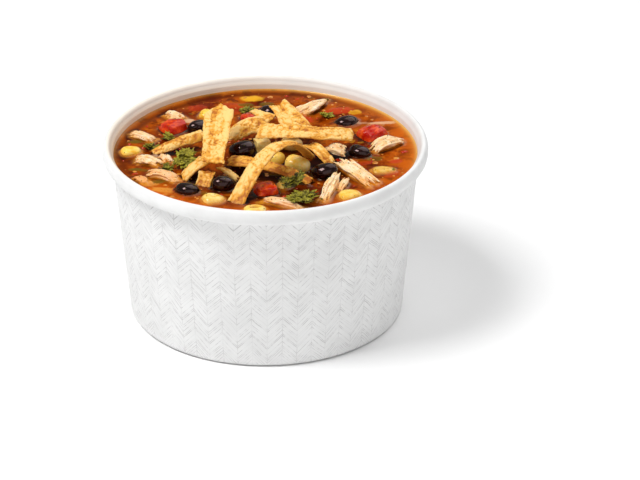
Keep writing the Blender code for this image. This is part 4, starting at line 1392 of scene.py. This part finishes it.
def make_flecks(finish, whole_tree, broth_tree):
    """Chopped herb flecks, lying on whatever is under them."""
    draw = random.Random(37)
    flecks = Gathered()
    count, spread = HERB_FLECKS
    while len(flecks.parts) < count:
        angle = draw.uniform(0, 2 * math.pi)
        out = math.sqrt(draw.uniform(0.0, 1.0)) * spread
        down = whole_tree.ray_cast((*polar(out, angle), 140.0), (0, 0, -1))
        if down[0] is None or down[1][2] < 0.55:
            continue
        under = broth_tree.ray_cast((down[0][0], down[0][1], LEVEL + 4), (0, 0, -1))
        raised = down[0][2] > under[0][2] + 0.2
        if raised and draw.random() < 0.85:
            continue
        size = min(2.0, 0.35 + draw.expovariate(2.6)) if not raised else draw.uniform(0.22, 0.42)
        turn = Vector((0, 0, 1)).rotation_difference(down[1]).to_matrix()
        spin = draw.uniform(0, 6.3)
        corners = draw.randint(6, 9)
        top = []
        for corner in range(corners):
            reach = size / 2 * draw.uniform(0.55, 1.15)
            swing = spin + 2 * math.pi * corner / corners
            flat = (reach * math.cos(swing) * 1.3, reach * math.sin(swing) * 0.8)
            top.append(down[0] + turn @ Vector((*flat, 0.16 + draw.uniform(0, 0.16))))
        faces = [list(range(corners)), list(range(corners, 2 * corners))[::-1]]
        for corner in range(corners):
            after = (corner + 1) % corners
            faces.append([corner, corners + corner, corners + after, after])
        flecks.take(top + [above - down[1] * 0.28 for above in top], faces)
    numbers = {"vein": np.zeros(flecks.count), "low": np.full(flecks.count, 0.35)}
    piece = make_piece("herb_flecks", flecks.points(), flecks.faces, finish, **numbers)
    return settle(piece, "herb")


def make_bits(finish, broth_tree, tree):
    """Crumbs of tomato that float in the broth."""
    draw = random.Random(59)
    up, around, faces = ball_points(*BIT_BALL)
    bits = Gathered()
    count, spread = TOMATO_BITS
    while len(bits.parts) < count:
        turn = draw.uniform(0, 2 * math.pi)
        out = math.sqrt(draw.uniform(0.05, 1.0)) * spread
        long = min(3.6, 0.7 + draw.expovariate(1.5))
        wide = long * draw.uniform(0.45, 0.8)
        center = polar(out, turn)
        spin = draw.uniform(0, math.pi)
        if tree.find_nearest((*center, LEVEL), long / 2 + 0.3)[3] is not None:
            continue
        level = broth_tree.ray_cast((*center, LEVEL + 4), (0, 0, -1))[0][2]
        x = long / 2 * np.cos(up) * np.cos(around)
        y = wide / 2 * np.cos(up) * np.sin(around)
        z = (0.16 + 0.13 * long) * np.sin(up)
        lump = 1 + 0.5 * soft_noise(stacked(x / 0.9 + len(bits.parts), y / 0.9, z / 0.9), 12)
        x, y = x * lump, y * lump
        across = x * math.sin(spin) + y * math.cos(spin)
        along = x * math.cos(spin) - y * math.sin(spin)
        bits.take(stacked(along + center[0], across + center[1], z + level - 0.04), faces)
    piece = make_piece("tomato_bits", bits.points(), bits.faces, finish)
    return settle(piece, "tomato")


# Stage, light and camera

# Lights in metres and watts: name, place, size and power
LIGHTS = (
    ("back", (0.72, 0.72, 1.36), (1.9, 1.7), 14.0),
    ("key", (-0.68, -0.26, 1.20), (0.54, 0.54), 14.0),
    ("front", (0.38, -1.5, 0.8), (2.4, 1.4), 7.3),
)
LIGHT_AIM = (0.0, 0.0, 0.07)
WORLD_STRENGTH = 0.24

# The camera fitted to the photo: metres, millimetres of lens, degrees down and to the side
CAMERA_PLACE = (0.0, -1.33217, 0.71020)
CAMERA_LENS = 180
CAMERA_PITCH = 26.982
CAMERA_YAW = 1.0787


def make_stage():
    floor = bpy.data.meshes.new("floor")
    far = 4.0
    corners = [(-far, -far, 0), (far, -far, 0), (far, far, 0), (-far, far, 0)]
    floor.from_pydata(corners, [], [(0, 1, 2, 3)])
    floor.materials.append(floor_material())
    stage = bpy.data.objects.new("floor", floor)
    stage.location.z = -0.0002
    bpy.context.scene.collection.objects.link(stage)


def area_light(name, place, size, power):
    """A white lamp that looks at the bowl."""
    lamp = bpy.data.lights.new(name, "AREA")
    lamp.shape = "RECTANGLE"
    lamp.size, lamp.size_y = size
    lamp.energy = power
    made = bpy.data.objects.new(name, lamp)
    made.location = place
    made.rotation_euler = (Vector(LIGHT_AIM) - Vector(place)).to_track_quat("-Z", "Y").to_euler()
    bpy.context.scene.collection.objects.link(made)


def make_light():
    world = bpy.data.worlds.new("studio")
    world.use_nodes = True
    back = world.node_tree.nodes["Background"]
    back.inputs["Color"].default_value = (1.0, 1.0, 1.0, 1.0)
    back.inputs["Strength"].default_value = WORLD_STRENGTH
    bpy.context.scene.world = world
    bpy.context.scene.view_settings.view_transform = "Standard"
    for name, place, size, power in LIGHTS:
        area_light(name, place, size, power)


def make_camera():
    lens_data = bpy.data.cameras.new("photo_camera")
    lens_data.lens = CAMERA_LENS
    lens_data.sensor_width = 36
    lens_data.clip_start = 0.05
    lens_data.clip_end = 30
    camera = bpy.data.objects.new("photo_camera", lens_data)
    camera.location = CAMERA_PLACE
    camera.rotation_euler = (math.radians(90 - CAMERA_PITCH), 0.0, -math.radians(CAMERA_YAW))
    bpy.context.scene.collection.objects.link(camera)
    bpy.context.scene.camera = camera


def main():
    paper = paper_material()
    make_bowl(paper)
    floor_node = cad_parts["bowl_floor"]
    for place in floor_node.material_slots:
        place.material = paper
    fried = tortilla_material()
    meat = chicken_material()
    skin = bean_material()
    grain = corn_material()
    cut = {"tomato": tomato_material(), "potato": potato_material()}
    herb = leaf_material()
    toppings = [strip_piece(name, fried) for name in STRIPS]
    toppings += [shred_piece(name, meat) for name in SHREDS]
    toppings += [bean_piece(name, skin) for name in BEANS]
    toppings += [kernel_piece(name, grain) for name in KERNELS]
    toppings += [cube_piece(name, cut) for name in CUBES]
    tree = surface_tree(toppings)
    leaves = [leaf_piece(name, herb) for name in LEAVES]
    pale_pieces = [piece for piece in toppings if piece.name.endswith(("_pulled", "_kernel"))]
    broth = make_broth(broth_material(), tree, surface_tree(pale_pieces))
    broth_tree = surface_tree([broth])
    make_drops(oil_material(), broth_tree, tree)
    make_bits(cut["tomato"], broth_tree, tree)
    make_flecks(herb, surface_tree(toppings + leaves + [broth]), broth_tree)
    make_stage()
    make_light()
    make_camera()


main()
